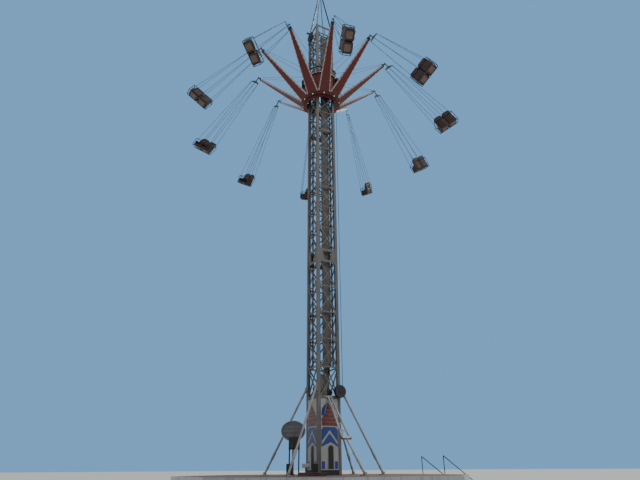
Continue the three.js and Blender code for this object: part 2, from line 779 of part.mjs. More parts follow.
// An arm with its two stays: it runs along +X.
function arm() {
  const pieces = [taper(SLEW_RING.crown + GAP, ARM_ROOT, ARM_TIP.x, ARM_TIP)];
  const { radius, z, halfGap } = PIVOT;
  const nose = EAR.angles.map((angle) => [
    radius + EAR.nose * Math.cos(radians(angle)),
    z + EAR.nose * Math.sin(radians(angle)),
  ]);
  const heel = ARM_TIP.x - EAR.back;
  const ear = [[heel, ARM_TIP.low + EAR.low], ...nose, [heel, ARM_TIP.low + EAR.high]];
  const start = CROWN_RING.crown + GAP;
  const { block, spread, tipSpread, level } = STAY;
  const { back, rise, behind, ahead, half, sunk, over } = STAY_LUG;
  const [endX, endZ] = [ARM_TIP.x - back, ARM_TIP.high + rise];
  for (const side of SIGNS) {
    pieces.push(plateXZ(ear, ...span(side, halfGap, halfGap + PIVOT.ear)));
    const [y, endY] = [side * spread, side * tipSpread];
    pieces.push(box(start, start + block, y - block, y + block, level - block, level + block));
    pieces.push(rod([start + block / 2, y, level], [endX, endY, endZ], STAY.radius, 4));
    pieces.push(box(endX - behind, endX + ahead, endY - half, endY + half, ARM_TIP.high - sunk, endZ + over));
  }
  pieces.push(rod([radius, -halfGap - 2, z], [radius, halfGap + 2, z], PIVOT.pin, 8));
  return fuse(pieces);
}

// Hanging seats: their own frame has its origin at the pivot, +X away from the tower, +Y the way
// the riders face and travel, and -Z down the chains.

const hung = (points) => points.map(([y, z]) => [y, z - SEAT_LEVEL]);

// A convex outline, anticlockwise, drawn in by a margin on every side.
const drawnIn = (outline, margin) => {
  const corners = vectors(outline);
  return corners.map((corner, i) => {
    const into = corner.clone().sub(corners.at(i - 1)).normalize();
    const out = corners[(i + 1) % corners.length].clone().sub(corner).normalize();
    return corner.clone().addScaledVector(out.clone().sub(into), margin / into.cross(out)).toArray();
  });
};

function hanger() {
  const boss = PIVOT.halfGap - 5;
  const { neck, shank, base, edge, half, thick, eyeInset } = SPREADER;
  const outline = [
    [-half, -base],
    [half, -base],
    [half, edge - base],
    [shank, -neck],
    [shank, 0],
    [-shank, 0],
    [-shank, -neck],
    [-half, edge - base],
  ];
  const pieces = [
    rod([0, -boss, 0], [0, boss, 0], PIVOT.boss, 10),
    plateXZ(outline, -thick / 2, thick / 2),
  ];
  const frame = hung(FRAME_SIDE);
  for (const side of SIGNS) {
    const x = side * FRAME_HALF;
    pieces.push(plateYZ(frame, x - TUBE, x + TUBE, [drawnIn(frame, 2 * TUBE)]));
  }
  for (const place of [-1, 0, 1]) {
    for (const [y, z] of hung(CROSS_TUBES.slice(2))) {
      const eye = [place * (half - eyeInset), Math.sign(y) * (CHAIN + 2), eyeInset - base];
      pieces.push(rod(eye, [place * CHAIN_SPREAD, y, z], CHAIN, 4));
    }
  }
  for (const [y, z] of hung(CROSS_TUBES)) {
    pieces.push(box(-FRAME_HALF, FRAME_HALF, y - TUBE, y + TUBE, z - TUBE, z + TUBE));
  }
  const sides = 8;
  const bore = (PIVOT.pin + PIVOT.play) / Math.cos(Math.PI / sides);
  return fuse(pieces).subtract(rod([0, -boss - LAP, 0], [0, boss + LAP, 0], bore, sides));
}

// A rectangle, anticlockwise: its corners are rounded, with one radius for the low pair and one
// for the high pair.
function rounded([x0, x1], [y0, y1], low, high) {
  const { steps } = TUB_CORNER;
  const corners = [
    [x1 - low, y0 + low, low, 270],
    [x1 - high, y1 - high, high, 0],
    [x0 + high, y1 - high, high, 90],
    [x0 + low, y0 + low, low, 180],
  ];
  return corners.flatMap(([x, y, radius, start]) =>
    Array.from({ length: steps + 1 }, (_, k) => {
      const angle = radians(start + (90 * k) / steps);
      return [x + radius * Math.cos(angle), y + radius * Math.sin(angle)];
    }),
  );
}

// Two tubs side by side, each rounded in front view and from above, and open at the front.
function doubleSeat() {
  const { half, wall, under, high, back, front } = SEAT;
  const { bottom, top, back: heel, front: toe } = TUB_CORNER;
  const levels = [-under - SEAT_LEVEL, high - SEAT_LEVEL];
  const tubs = SIGNS.map((side) => {
    const across = side < 0 ? [-half, LAP] : [-LAP, half];
    const fromFront = plateXZ(rounded(across, levels, bottom, top), back, front);
    const fromAbove = plate(vectors(rounded(across, [back, front], heel, toe)), ...levels);
    const hollow = plateYZ(hung(SHELL_HOLLOW), ...span(side, wall / 2, half - wall));
    return plateYZ(hung(SHELL_SIDE), ...across)
      .intersect(fromFront)
      .intersect(fromAbove)
      .subtract(hollow);
  });
  return fuse(tubs);
}

// The whole ride

const ride = new THREE.Group();
const add = (name, body, material) => ride.add(mesh(name, body, material));

add("base_frame", baseFrame(), paint.steel());
add("deck", deck(), paint.deck());
add("entrance_steps", entranceSteps(), paint.steel());
add("tower_lower", towerLower(), paint.grey());
add("splice_collar", spliceCollar(), paint.grey());
add("tower_middle", towerUpper(COLLAR_TOP, MIDDLE_TOP - GAP), paint.grey());
add("tower_upper", towerUpper(MIDDLE_TOP, UPPER_TOP), paint.grey());
add("head_frame", headFrame(), paint.grey());
add("spire", spire(), paint.rail());
add("head_sheave", headSheave(), paint.steel());
add("cable_tray", cableTray(), paint.grey());
add("drive_unit", driveUnit(), paint.steel());
for (const side of [
  { name: "base_panel_front", turn: 0 },
  { name: "base_panel_right", turn: 90 },
  { name: "base_panel_back", turn: 180 },
  { name: "base_panel_left", turn: 270 },
]) {
  ride.add(basePanel(side));
}
add("strut_front_left", strut(-1, -1), paint.grey());
add("strut_front_right", strut(1, -1), paint.grey());
add("strut_back_left", strut(-1, 1), paint.grey());
add("strut_back_right", strut(1, 1), paint.grey());
add("raising_frame", raisingFrame(), paint.grey());
add("cable_reel", cableReel(), paint.black());
add("reel_cable", reelCable(), paint.black());
for (const [piece, place] of [
  [mesh("oval_board", ovalBoard(), paint.white()), BOARD],
  [mesh("cabinet", cabinet(), paint.black()), CABINET],
]) {
  piece.position.set(place.x, place.y, 0);
  piece.rotation.z = radians(BOARD.facing + 90);
  ride.add(piece);
}

add("carriage_drum", carriageDrum(), paint.red());
for (const { name, azimuth } of MOTORS) {
  const motor = mesh(name, slewMotor(), paint.steel());
  motor.rotation.z = radians(azimuth);
  ride.add(motor);
}

add("slew_ring", slewRing(), paint.red());
add("crown_ring", crownRing(), paint.red());
for (let i = 0; i < ARMS; i += 1) {
  const number = String(i + 1).padStart(2, "0");
  const bay = new THREE.Group();
  bay.rotation.z = (2 * Math.PI * i) / ARMS;
  bay.add(mesh("arm_" + number, arm(), paint.red()));
  const swing = new THREE.Group();
  swing.position.set(PIVOT.radius, 0, PIVOT.z);
  swing.rotation.y = -radians(FLUNG);
  swing.add(mesh("hanger_" + number, hanger(), paint.steel()));
  swing.add(mesh("double_seat_" + number, doubleSeat(), paint.shell()));
  bay.add(swing);
  ride.add(bay);
}

export default ride;
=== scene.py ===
"""Looks of a travelling tower swing ride, built round its solid model, in metres with Z up."""
import json
import math
from functools import cached_property
from itertools import product

import bmesh
import bpy
from mathutils import Matrix, Vector


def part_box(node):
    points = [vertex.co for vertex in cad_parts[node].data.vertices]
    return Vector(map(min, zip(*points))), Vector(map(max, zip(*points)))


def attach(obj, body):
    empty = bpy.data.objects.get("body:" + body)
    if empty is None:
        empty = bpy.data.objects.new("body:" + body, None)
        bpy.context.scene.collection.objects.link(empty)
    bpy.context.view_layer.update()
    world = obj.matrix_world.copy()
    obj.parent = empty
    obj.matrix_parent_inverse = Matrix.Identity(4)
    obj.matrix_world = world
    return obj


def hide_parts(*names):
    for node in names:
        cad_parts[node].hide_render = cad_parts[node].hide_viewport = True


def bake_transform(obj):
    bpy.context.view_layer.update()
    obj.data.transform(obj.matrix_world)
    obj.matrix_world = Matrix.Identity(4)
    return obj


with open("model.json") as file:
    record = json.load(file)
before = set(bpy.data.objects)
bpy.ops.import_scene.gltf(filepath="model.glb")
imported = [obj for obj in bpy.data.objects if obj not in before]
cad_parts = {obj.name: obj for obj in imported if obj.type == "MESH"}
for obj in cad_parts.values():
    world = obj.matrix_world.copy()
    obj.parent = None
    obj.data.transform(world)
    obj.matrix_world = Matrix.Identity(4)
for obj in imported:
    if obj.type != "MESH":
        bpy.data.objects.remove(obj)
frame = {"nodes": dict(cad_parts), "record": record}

bl_info = {
    "name": "Tower swing ride",
    "version": (1, 0, 0),
    "blender": (4, 5, 0),
    "location": "View3D > Sidebar > Ride",
    "description": "Seats, chains, lamps, painted panels and finishes of a tower swing ride",
    "category": "Object",
}


def about(axis, degrees):
    """A turn about an axis through the origin."""
    return Matrix.Rotation(math.radians(degrees), 4, axis)


def moved(x=0.0, y=0.0, z=0.0):
    return Matrix.Translation((x, y, z))


def spun(count):
    """The places that share out a turn round Z, from +X."""
    return [about("Z", 360 * k / count) for k in range(count)]


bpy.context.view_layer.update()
NODES = frame["nodes"]
ARMS = 10
SIDES = (-1, 1)
NUMBERS = [f"{i + 1:02d}" for i in range(ARMS)]

# Places taken from the solid model, in metres and degrees
DECK_TOP = 1.35
DECK_REACH = 6.0
PIVOT = Vector((4.0, 0.0, 24.3))
FLUNG = 32.8
SEAT_DROP = 6.01
CHAIN_PIN_X, CHAIN_PIN_Z = 0.258, -0.428
DECAGON = 1.085
LATTICE_FACE = 0.565
PANEL_FACE = 0.575
RAIL, RAIL_HALF = 0.355, 0.0305
REEL_PLACE = moved(0.47, -0.745, 4.8) @ about("X", 90)
CABLE_PLANE = -0.31
BOARD_HEIGHT = 3.117
BOARD_PLACE = moved(-1.495, -0.005) @ about("Z", -27.8)
CABINET_PLACE = moved(-1.548, -0.25) @ about("Z", -27.8)
# Degrees round Z of the camera, which the boxes on the deck face
VIEW_TURN = -27.75


def length(name, description, default):
    """A length that a user can change."""
    return bpy.props.FloatProperty(name=name, description=description, default=default, unit="LENGTH")


def tint(name, description, colour):
    """A colour that a user can change."""
    return bpy.props.FloatVectorProperty(
        name=name, description=description, default=colour, size=3, min=0.0, max=1.0, subtype="COLOR")


class RideSizes(bpy.types.PropertyGroup):
    """Sizes of the fittings that are added to the solid model"""

    chain_pitch: length("Chain pitch", "Length of chain taken up by one link", 0.068)
    chain_wire: length("Chain wire", "Radius of the wire of a link", 0.0054)
    tube: length("Seat tube", "Radius of the tubes round a double seat", 0.017)
    # The arm strips are painted light: a pale colour for the lit side faces of the red arms
    strip: length("Arm strip", "Width of the pale strip of painted light along each edge of an arm", 0.055)
    lamp: length("Lamp", "Radius of a lamp on the turning crown", 0.036)


class RideColours(bpy.types.PropertyGroup):
    """Colours of the paints and finishes"""

    grey: tint("Grey", "Paint of the tower", (0.118, 0.116, 0.111))
    # A lighter copy of the tower's grey paint: painted light on the struts and the raising frame
    grey_painted_lit: tint("Light grey", "Paint of the struts and the raising frame", (0.36, 0.355, 0.345))
    red: tint("Red", "Paint of the arms and the carriage", (0.125, 0.008, 0.006))
    beige: tint("Beige", "The upper ring of the crown and the cable tray", (0.102, 0.096, 0.084))
    # Painted light: the pale strips stand for the lit side faces of the red arms
    strip: tint("Strip", "Pale strips of painted light along the arms", (0.40, 0.33, 0.30))
    # Brown is painted shade on the inner rails, and the paint of the head's sheave
    brown: tint("Brown", "Inner rails and the head's sheave", (0.04, 0.028, 0.024))
    dark: tint("Dark", "Paint of machinery", (0.012, 0.013, 0.017))
    zinc: tint("Zinc", "Galvanised steel", (0.085, 0.09, 0.098))
    deck: tint("Deck", "Paint of the deck boards", (0.06, 0.017, 0.016))
    white: tint("White", "Panels and the deck's edge", (0.37, 0.38, 0.375))
    blue: tint("Blue", "Blue shapes on the panels", (0.002, 0.036, 0.27))
    signal_red: tint("Signal red", "Red shapes on the panels", (0.155, 0.018, 0.013))
    shell: tint("Seat shell", "Moulded seat shells", (0.03, 0.011, 0.009))
    tan: tint("Tan", "Panels under the seats", (0.17, 0.10, 0.065))


def sizes():
    return bpy.context.scene.ride_sizes


# Finishes


class Wiring:
    """A tree of shader nodes, put in and fed one by one."""

    def __init__(self, tree):
        self.tree = tree

    @cached_property
    def place(self):
        """Object coordinates."""
        return self.put("TexCoord").outputs["Object"]

    def feed(self, socket, value):
        """Links a socket to another one, or sets its value."""
        if isinstance(value, bpy.types.NodeSocket):
            self.tree.links.new(value, socket)
        elif hasattr(value, "__len__") and len(value) == 3 and len(socket.default_value) == 4:
            socket.default_value = (*value, 1.0)
        else:
            socket.default_value = value

    def put(self, kind, feeds=None, **settings):
        """A shader node with its settings and its sockets fed."""
        made = self.tree.nodes.new("ShaderNode" + kind)
        for key, value in settings.items():
            setattr(made, key, value)
        for key, value in (feeds or {}).items():
            self.feed(made.inputs[key], value)
        return made

    def mix(self, share, first, second):
        """A colour between two."""
        return self.put("Mix", {0: share, 6: first, 7: second}, data_type="RGBA").outputs[2]

    def reckon(self, operation, *values):
        return self.put("Math", dict(enumerate(values)), operation=operation).outputs[0]

    def spread(self, value, low, high, to_low=0.0, to_high=1.0):
        """Carries a value from one range to another."""
        return self.put("MapRange", {0: value, 1: low, 2: high, 3: to_low, 4: to_high}).outputs[0]

    def noise(self, scale, detail, place=None):
        feeds = {"Vector": place or self.place, "Scale": scale, "Detail": detail}
        return self.put("TexNoise", feeds).outputs[0]


def effect(name, inputs, outputs, wire):
    """A shader node group, built once. `wire` returns the sources of its outputs."""
    tree = bpy.data.node_groups.get(name)
    if tree:
        return tree
    tree = bpy.data.node_groups.new(name, "ShaderNodeTree")
    for label, value in inputs.items():
        kind = "Color" if isinstance(value, tuple) else "Float"
        socket = tree.interface.new_socket(label, in_out="INPUT", socket_type="NodeSocket" + kind)
        socket.default_value = (*value, 1.0) if kind == "Color" else value
    for label in outputs:
        kind = "Color" if label == "Color" else "Float"
        tree.interface.new_socket(label, in_out="OUTPUT", socket_type="NodeSocket" + kind)
    source, sink = tree.nodes.new("NodeGroupInput"), tree.nodes.new("NodeGroupOutput")
    for label, result in wire(Wiring(tree), source.outputs).items():
        tree.links.new(result, sink.inputs[label])
    return tree


def weathering():
    """Faded paint with soil that has run down it, chips and a slightly uneven gloss."""

    def wire(w, given):
        patches = w.noise(given["Patch scale"], 4.0)
        drips = w.put("Mapping", {"Vector": w.place, "Scale": (7.0, 7.0, 0.5)}).outputs[0]
        soil = w.reckon("MULTIPLY", w.spread(w.noise(1.0, 4.0, drips), 0.48, 0.75), given["Soil amount"])
        chips = w.reckon("MULTIPLY", w.spread(w.noise(31.0, 6.0), 0.66, 0.7), given["Chips"])
        faded = w.mix(given["Fade"], given["Paint"], (0.42, 0.42, 0.42))
        base = w.mix(w.spread(patches, 0.35, 0.7), given["Paint"], faded)
        base = w.mix(chips, w.mix(soil, base, given["Soil"]), given["Bare"])
        rough = w.reckon("ADD", given["Roughness"], w.spread(patches, 0.3, 0.7, -0.08, 0.1))
        rough = w.reckon("ADD", rough, w.reckon("MULTIPLY", soil, 0.2))
        height = w.reckon("SUBTRACT", w.reckon("MULTIPLY", patches, 0.25), chips)
        return {"Color": base, "Roughness": rough, "Height": height}

    inputs = {"Paint": (0.5, 0.5, 0.5), "Soil": (0.08, 0.06, 0.05), "Bare": (0.2, 0.12, 0.08),
              "Patch scale": 2.2, "Soil amount": 0.6, "Chips": 0.7, "Roughness": 0.45, "Fade": 0.16}
    return effect("Weathering", inputs, ("Color", "Roughness", "Height"), wire)


def seams():
    """Thin dark lines at a pitch along X and Y, as between boards or sheets."""

    def wire(w, given):
        axes = w.put("SeparateXYZ", {0: w.place}).outputs
        lines = []
        for axis in ("X", "Y"):
            pitch = given["Pitch " + axis]
            share = w.reckon("FRACT", w.reckon("DIVIDE", axes[axis], pitch))
            edge = w.reckon("ABSOLUTE", w.reckon("SUBTRACT", share, 0.5))
            near = w.reckon("MULTIPLY", w.reckon("SUBTRACT", 0.5, edge), pitch)
            lines.append(w.reckon("LESS_THAN", near, given["Width"]))
        return {"Mask": w.reckon("MAXIMUM", *lines)}

    return effect("Seams", {"Pitch X": 1.2, "Pitch Y": 2.4, "Width": 0.006}, ("Mask",), wire)


MATERIALS = {}


def material(name, wire, metallic=0.0, bump=0.15, **sockets):
    """A material whose colour, roughness and height `wire` returns."""
    made = bpy.data.materials.new(name)
    made.use_nodes = True
    w = Wiring(made.node_tree)
    colour, rough, height = wire(w)
    relief = w.put("Bump", {"Height": height, "Strength": bump, "Distance": 0.004}).outputs[0]
    feeds = {"Base Color": colour, "Roughness": rough, "Metallic": metallic, "Normal": relief}
    feeds.update({label.replace("_", " "): value for label, value in sockets.items()})
    for label, value in feeds.items():
        w.feed(made.node_tree.nodes["Principled BSDF"].inputs[label], value)
    MATERIALS[name] = made
    return made


def painted(name, colour, rough=0.45, soil=0.55, chips=0.7, scale=2.2, bare=(0.2, 0.12, 0.08), fade=0.16,
            **more):
    """A weathered painted finish."""

    def wire(w):
        feeds = {"Paint": colour, "Bare": bare, "Patch scale": scale, "Soil amount": soil, "Chips": chips,
                 "Roughness": rough, "Fade": fade}
        made = w.put("Group", feeds, node_tree=weathering()).outputs
        return made["Color"], made["Roughness"], made["Height"]

    material(name, wire, **more)


def boards(name, colour, pitch, rough):
    """Painted boards with dark joints and a path worn by feet."""
    path_radius = 4.4

    def wire(w):
        feeds = {"Paint": colour, "Roughness": rough, "Chips": 1.0, "Soil amount": 0.3}
        base = w.put("Group", feeds, node_tree=weathering()).outputs
        lines = w.put("Group", {"Pitch X": pitch[0], "Pitch Y": pitch[1]}, node_tree=seams()).outputs[0]
        away = w.put("VectorMath", {0: w.place}, operation="LENGTH").outputs["Value"]
        off_path = w.reckon("ABSOLUTE", w.reckon("SUBTRACT", away, path_radius))
        wear = w.spread(w.noise(3.0, 6.0), 0.4, 0.6)
        trodden = w.reckon("MULTIPLY", w.spread(off_path, 0.3, 1.2, 0.5, 0.0), wear)
        top = w.mix(trodden, base["Color"], (0.12, 0.075, 0.065))
        top = w.mix(lines, top, (0.02, 0.015, 0.015))
        return top, base["Roughness"], w.reckon("SUBTRACT", base["Height"], lines)

    material(name, wire, bump=0.4)


def zinc_coat(name, colour, rough=0.52):
    """A galvanised surface with its crystals."""

    def wire(w):
        crystals = w.put("TexVoronoi", {"Vector": w.place, "Scale": 38.0}).outputs["Color"]
        shade = w.put("SeparateColor", {0: crystals}).outputs[0]
        brighter = tuple(min(1.0, v * 1.35) for v in colour)
        base = w.mix(w.spread(shade, 0.0, 1.0, 0.0, 0.6), colour, brighter)
        base = w.mix(w.spread(w.noise(4.0, 5.0), 0.45, 0.75, 0.0, 0.6), base, (0.06, 0.05, 0.045))
        return base, w.spread(shade, 0.0, 1.0, rough - 0.08, rough + 0.14), shade

    material(name, wire, metallic=0.35, bump=0.05)


def moulded(name, colour):
    """A moulded shell with a fine grain, rubbed paler on its high spots."""

    def wire(w):
        grain, cloud = w.noise(420.0, 2.0), w.noise(3.2, 5.0)
        paler = tuple(min(1.0, v * 1.9 + 0.02) for v in colour)
        base = w.mix(w.spread(cloud, 0.45, 0.75, 0.0, 0.7), colour, paler)
        base = w.mix(w.spread(grain, 0.6, 0.7, 0.0, 0.25), base, (0.3, 0.24, 0.2))
        return base, w.spread(cloud, 0.3, 0.7, 0.34, 0.55), grain

    material(name, wire, bump=0.12)


def lamp_cover(name):
    """A ribbed white lamp cover, faintly lit."""

    def wire(w):
        ribs = w.put("TexWave", {"Vector": w.place, "Scale": 60.0, "Distortion": 0.4}).outputs["Fac"]
        base = w.mix(ribs, (0.86, 0.84, 0.78), (0.95, 0.94, 0.9))
        return base, w.spread(ribs, 0.0, 1.0, 0.12, 0.28), ribs

    material(name, wire, bump=0.2, Coat_Weight=0.6, Emission_Strength=0.35, Emission_Color=(1.0, 0.93, 0.8))


def rubber(name, colour):
    """A cable sheath with a dusty bloom."""

    def wire(w):
        bloom = w.noise(9.0, 4.0)
        base = w.mix(w.spread(bloom, 0.4, 0.8, 0.0, 0.5), colour, (0.12, 0.115, 0.11))
        return base, w.spread(bloom, 0.3, 0.7, 0.6, 0.85), bloom

    material(name, wire, bump=0.1)


def make_materials():
    tone = bpy.context.scene.ride_colours
    painted("grey_paint", tone.grey, soil=0.75, chips=0.8)
    # The tower's grey made lighter: painted light for the struts and the raising frame
    painted("grey_paint_painted_lit", tone.grey_painted_lit, soil=0.6, chips=0.6)
    painted("red_paint", tone.red, rough=0.4, soil=0.35, bare=(0.3, 0.2, 0.16), fade=0.03)
    painted("beige_paint", tone.beige, rough=0.5, scale=5.0)
    # Painted light for the lit side faces of the arms
    painted("strip_painted_light", tone.strip, soil=0.4, scale=5.0)
    # Painted shade on the inner rails, and the paint of the head's sheave
    painted("brown_paint_and_shade", tone.brown, rough=0.6, soil=0.4, bare=(0.10, 0.05, 0.03))
    painted("board_face", (0.045, 0.055, 0.075), rough=0.3, soil=0.3, chips=0.2, Coat_Weight=0.4)
    painted("dark_paint", tone.dark, rough=0.5, soil=0.2, bare=(0.12, 0.12, 0.12), fade=0.04)
    painted("white_panel", tone.white, rough=0.3, soil=0.45, chips=0.35, Coat_Weight=0.3)
    painted("blue_shape", tone.blue, rough=0.3, soil=0.2, chips=0.3, fade=0.02, Coat_Weight=0.3)
    painted("red_shape", tone.signal_red, rough=0.32, soil=0.2, chips=0.3, fade=0.02, Coat_Weight=0.3)
    painted("tan_panel", tone.tan, rough=0.55, soil=0.5, scale=7.0)
    zinc_coat("galvanised_steel", tone.zinc)
    boards("deck_paint", tone.deck, (1.2, 2.4), 0.6)
    moulded("seat_shell", tone.shell)
    rubber("cable_sheath", (0.03, 0.03, 0.032))
    lamp_cover("lamp_cover")


# Shapes


def fresh(count):
    """Empty shapes."""
    return [bmesh.new() for _ in range(count)]


def block(shape, low, high, place=Matrix()):
    """A box between two corners."""
    low, high = Vector(low), Vector(high)
    size = Matrix.Diagonal((*(high - low), 1.0))
    bmesh.ops.create_cube(shape, size=1.0, matrix=place @ Matrix.Translation((low + high) / 2) @ size)


def bar(shape, start, end, radius, sides=12, radius_end=None, place=Matrix()):
    """A round bar, cone or prism between two points."""
    start, end = Vector(start), Vector(end)
    along = end - start
    turn = Vector((0, 0, 1)).rotation_difference(along).to_matrix().to_4x4()
    bmesh.ops.create_cone(
        shape, cap_ends=True, cap_tris=False, segments=sides, radius1=radius,
        radius2=radius if radius_end is None else radius_end, depth=along.length,
        matrix=place @ Matrix.Translation((start + end) / 2) @ turn)


def slab(shape, outline, along, place=Matrix()):
    """A flat outline of a few corners, pushed along a direction into a plate."""
    face = shape.faces.new([shape.verts.new(place @ Vector(corner)) for corner in outline])
    pushed = bmesh.ops.extrude_face_region(shape, geom=[face])["geom"]
    corners = [part for part in pushed if isinstance(part, bmesh.types.BMVert)]
    bmesh.ops.translate(shape, vec=place.to_3x3() @ Vector(along), verts=corners)


def turned(shape, profile, steps, place=Matrix()):
    """A profile of (radius, height) pairs spun round Z."""
    corners = [shape.verts.new((radius, 0.0, height)) for radius, height in profile]
    edges = [shape.edges.new(pair) for pair in zip(corners, corners[1:])]
    before = set(shape.verts) - set(corners)
    bmesh.ops.spin(shape, geom=corners + edges, cent=(0, 0, 0), axis=(0, 0, 1), angle=2 * math.pi,
                   steps=steps, use_merge=True)
    made = [v for v in shape.verts if v not in before]
    bmesh.ops.remove_doubles(shape, verts=made, dist=1e-5)
    made = [v for v in shape.verts if v not in before]
    bmesh.ops.transform(shape, matrix=place, verts=made)


def hoop(inner, outer, low, high):
    """The profile of a ring with square edges."""
    return [(inner, low), (outer, low), (outer, high), (inner, high), (inner, low)]


def softened(shape, width, segments=2):
    """Rounds every edge."""
    bmesh.ops.bevel(shape, geom=list(shape.edges), offset=width, offset_type="OFFSET", segments=segments,
                    profile=0.5, affect="EDGES", clamp_overlap=True, material=-1)


def bolts(shape, places, out, width, place=Matrix()):
    """Hexagon bolt heads with washers, pointing along `out`."""
    out = (place.to_3x3() @ Vector(out)).normalized()
    for spot in places:
        spot = place @ Vector(spot)
        bar(shape, spot, spot + out * width * 0.14, width * 0.62, 10)
        bar(shape, spot, spot + out * width * 0.6, width * 0.5, 6)


def cornered(points, radius, closed=True, steps=4):
    """A path whose corners are rounded."""
    points = [Vector(p) for p in points]
    path = []
    for i, corner in enumerate(points):
        if not closed and i in (0, len(points) - 1):
            path.append(corner)
            continue
        before, after = points[i - 1], points[(i + 1) % len(points)]
        a = corner + (before - corner).normalized() * radius
        b = corner + (after - corner).normalized() * radius
        for k in range(steps + 1):
            t = k / steps
            path.append(a * (1 - t) ** 2 + corner * 2 * t * (1 - t) + b * t * t)
    return path


def shown(name, data):
    """An object in the scene."""
    made = bpy.data.objects.new(name, data)
    bpy.context.scene.collection.objects.link(made)
    return made


def as_drawn(holder):
    """The mesh of an object with its modifiers, or of a curve with its thickness."""
    bpy.context.view_layer.update()
    return bpy.data.meshes.new_from_object(holder.evaluated_get(bpy.context.evaluated_depsgraph_get()))


def tube(shape, points, radius, closed=False, place=Matrix()):
    """A round tube along a path."""
    curve = bpy.data.curves.new("tube", "CURVE")
    curve.dimensions = "3D"
    curve.bevel_depth = radius
    curve.bevel_resolution = 3
    curve.use_fill_caps = not closed
    spline = curve.splines.new("POLY")
    spline.points.add(len(points) - 1)
    for target, point in zip(spline.points, points):
        target.co = (*point, 1.0)
    spline.use_cyclic_u = closed
    holder = shown("tube", curve)
    drawn = as_drawn(holder)
    drawn.transform(place)
    shape.from_mesh(drawn)
    bpy.data.objects.remove(holder)
    bpy.data.curves.remove(curve)
    bpy.data.meshes.remove(drawn)


def copied(shape, mesh, place=Matrix()):
    """Adds a mesh to a shape, moved to a place."""
    copy = mesh.copy()
    copy.transform(place)
    shape.from_mesh(copy)
    bpy.data.meshes.remove(copy)


def mesh_of(shape, name):
    """Closes a shape into a mesh whose faces point out."""
    bmesh.ops.recalc_face_normals(shape, faces=shape.faces)
    mesh = bpy.data.meshes.new(name)
    shape.to_mesh(mesh)
    shape.free()
    return mesh


def finished(name, mesh, finish, flat=False):
    """An object with its material and shading."""
    if isinstance(mesh, bmesh.types.BMesh):
        mesh = mesh_of(mesh, name)
    mesh.materials.append(MATERIALS[finish])
    if not flat:
        mesh.polygons.foreach_set("use_smooth", [True] * len(mesh.polygons))
        mesh.set_sharp_from_angle(angle=math.radians(35))
    return shown(name, mesh)


# The material slot of a finish that has no slot of its own name
SLOTS = {"lamp_cover": None, "tan_panel": "seat_shell", "strip_painted_light": "red_paint",
         "brown_paint_and_shade": "dark_paint", "grey_paint_painted_lit": "grey_paint", "board_face": "white_panel",
         "blue_shape": "white_panel", "red_shape": "white_panel"}


def piece(name, mesh, finish, body="root", replaces=(), flat=False, slot=None):
    """An object of the ride that moves with a body and may stand for nodes of the solid model."""
    made = finished(name, mesh, finish, flat)
    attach(made, body)
    slot = slot or SLOTS.get(finish, finish)
    if replaces:
        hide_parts(*replaces)
    return made


def hang(rows, flat=False):
    """Copies meshes onto each swing. They hang from the origin along -Z and travel along +Y.

    A row gives the piece's name, its mesh, its finish and the nodes that it replaces."""
    for number, place in zip(NUMBERS, spun(ARMS)):
        for name, mesh, finish, *nodes in rows:
            mine = mesh.copy()
            mine.transform(place @ Matrix.Translation(PIVOT) @ about("Y", -FLUNG))
            piece(name + number, mine, finish, "swing_" + number, [node + number for node in nodes], flat)


def seated(x, y, z):
    """A point given from the middle of the seat's surface."""
    return Vector((x, y, z - SEAT_DROP))


class RIDE_OT_studio(bpy.types.Operator):
    """Makes the camera, the floor and the soft lights"""

    bl_idname = "ride.studio"
    bl_label = "Studio"

    LENS = 27.906
    STAND = (-11.19, -21.04, 1.6)
    PITCH, ROLL = 114.78, -0.33
    FLOOR_HALF = 600.0
    LIGHT_SKY, SEEN_SKY = (0.60, 0.62, 0.64), (0.22, 0.50, 0.88)
    # Name, direction of travel, strength and spread in degrees
    SUNS = (("key", (-0.62, -0.35, -0.70), 1.2, 12.0), ("fill", (-0.35, 0.72, -0.60), 0.5, 40.0))

    def execute(self, context):
        scene = context.scene
        lens = bpy.data.cameras.new("camera")
        lens.lens = self.LENS
        lens.sensor_width = 36.0
        lens.clip_end = 2000.0
        scene.camera = shown("camera", lens)
        turn = about("Z", VIEW_TURN) @ about("X", self.PITCH) @ about("Z", self.ROLL)
        scene.camera.matrix_world = moved(*self.STAND) @ turn
        shape = bmesh.new()
        bmesh.ops.create_grid(shape, x_segments=8, y_segments=8, size=self.FLOOR_HALF)
        floor = shown("floor", mesh_of(shape, "floor"))

        def wire(w):
            cloud = w.noise(0.6, 4.0)
            return w.mix(cloud, (0.60, 0.60, 0.59), (0.66, 0.66, 0.65)), 0.85, cloud

        floor.data.materials.append(material("floor", wire, bump=0.05))
        scene.world = bpy.data.worlds.new("studio")
        scene.world.use_nodes = True
        w = Wiring(scene.world.node_tree)
        sky = w.tree.nodes["Background"].inputs
        seen = w.put("LightPath").outputs["Is Camera Ray"]
        w.feed(sky["Color"], w.mix(seen, self.LIGHT_SKY, self.SEEN_SKY))
        w.feed(sky["Strength"], 0.8)
        for name, travel, power, spread in self.SUNS:
            light = bpy.data.lights.new(name, "SUN")
            light.energy = power
            light.angle = math.radians(spread)
            aim = Vector(travel).to_track_quat("-Z", "Y").to_matrix().to_4x4()
            shown(name, light).matrix_world = moved(0, 0, 40) @ aim
        return {"FINISHED"}


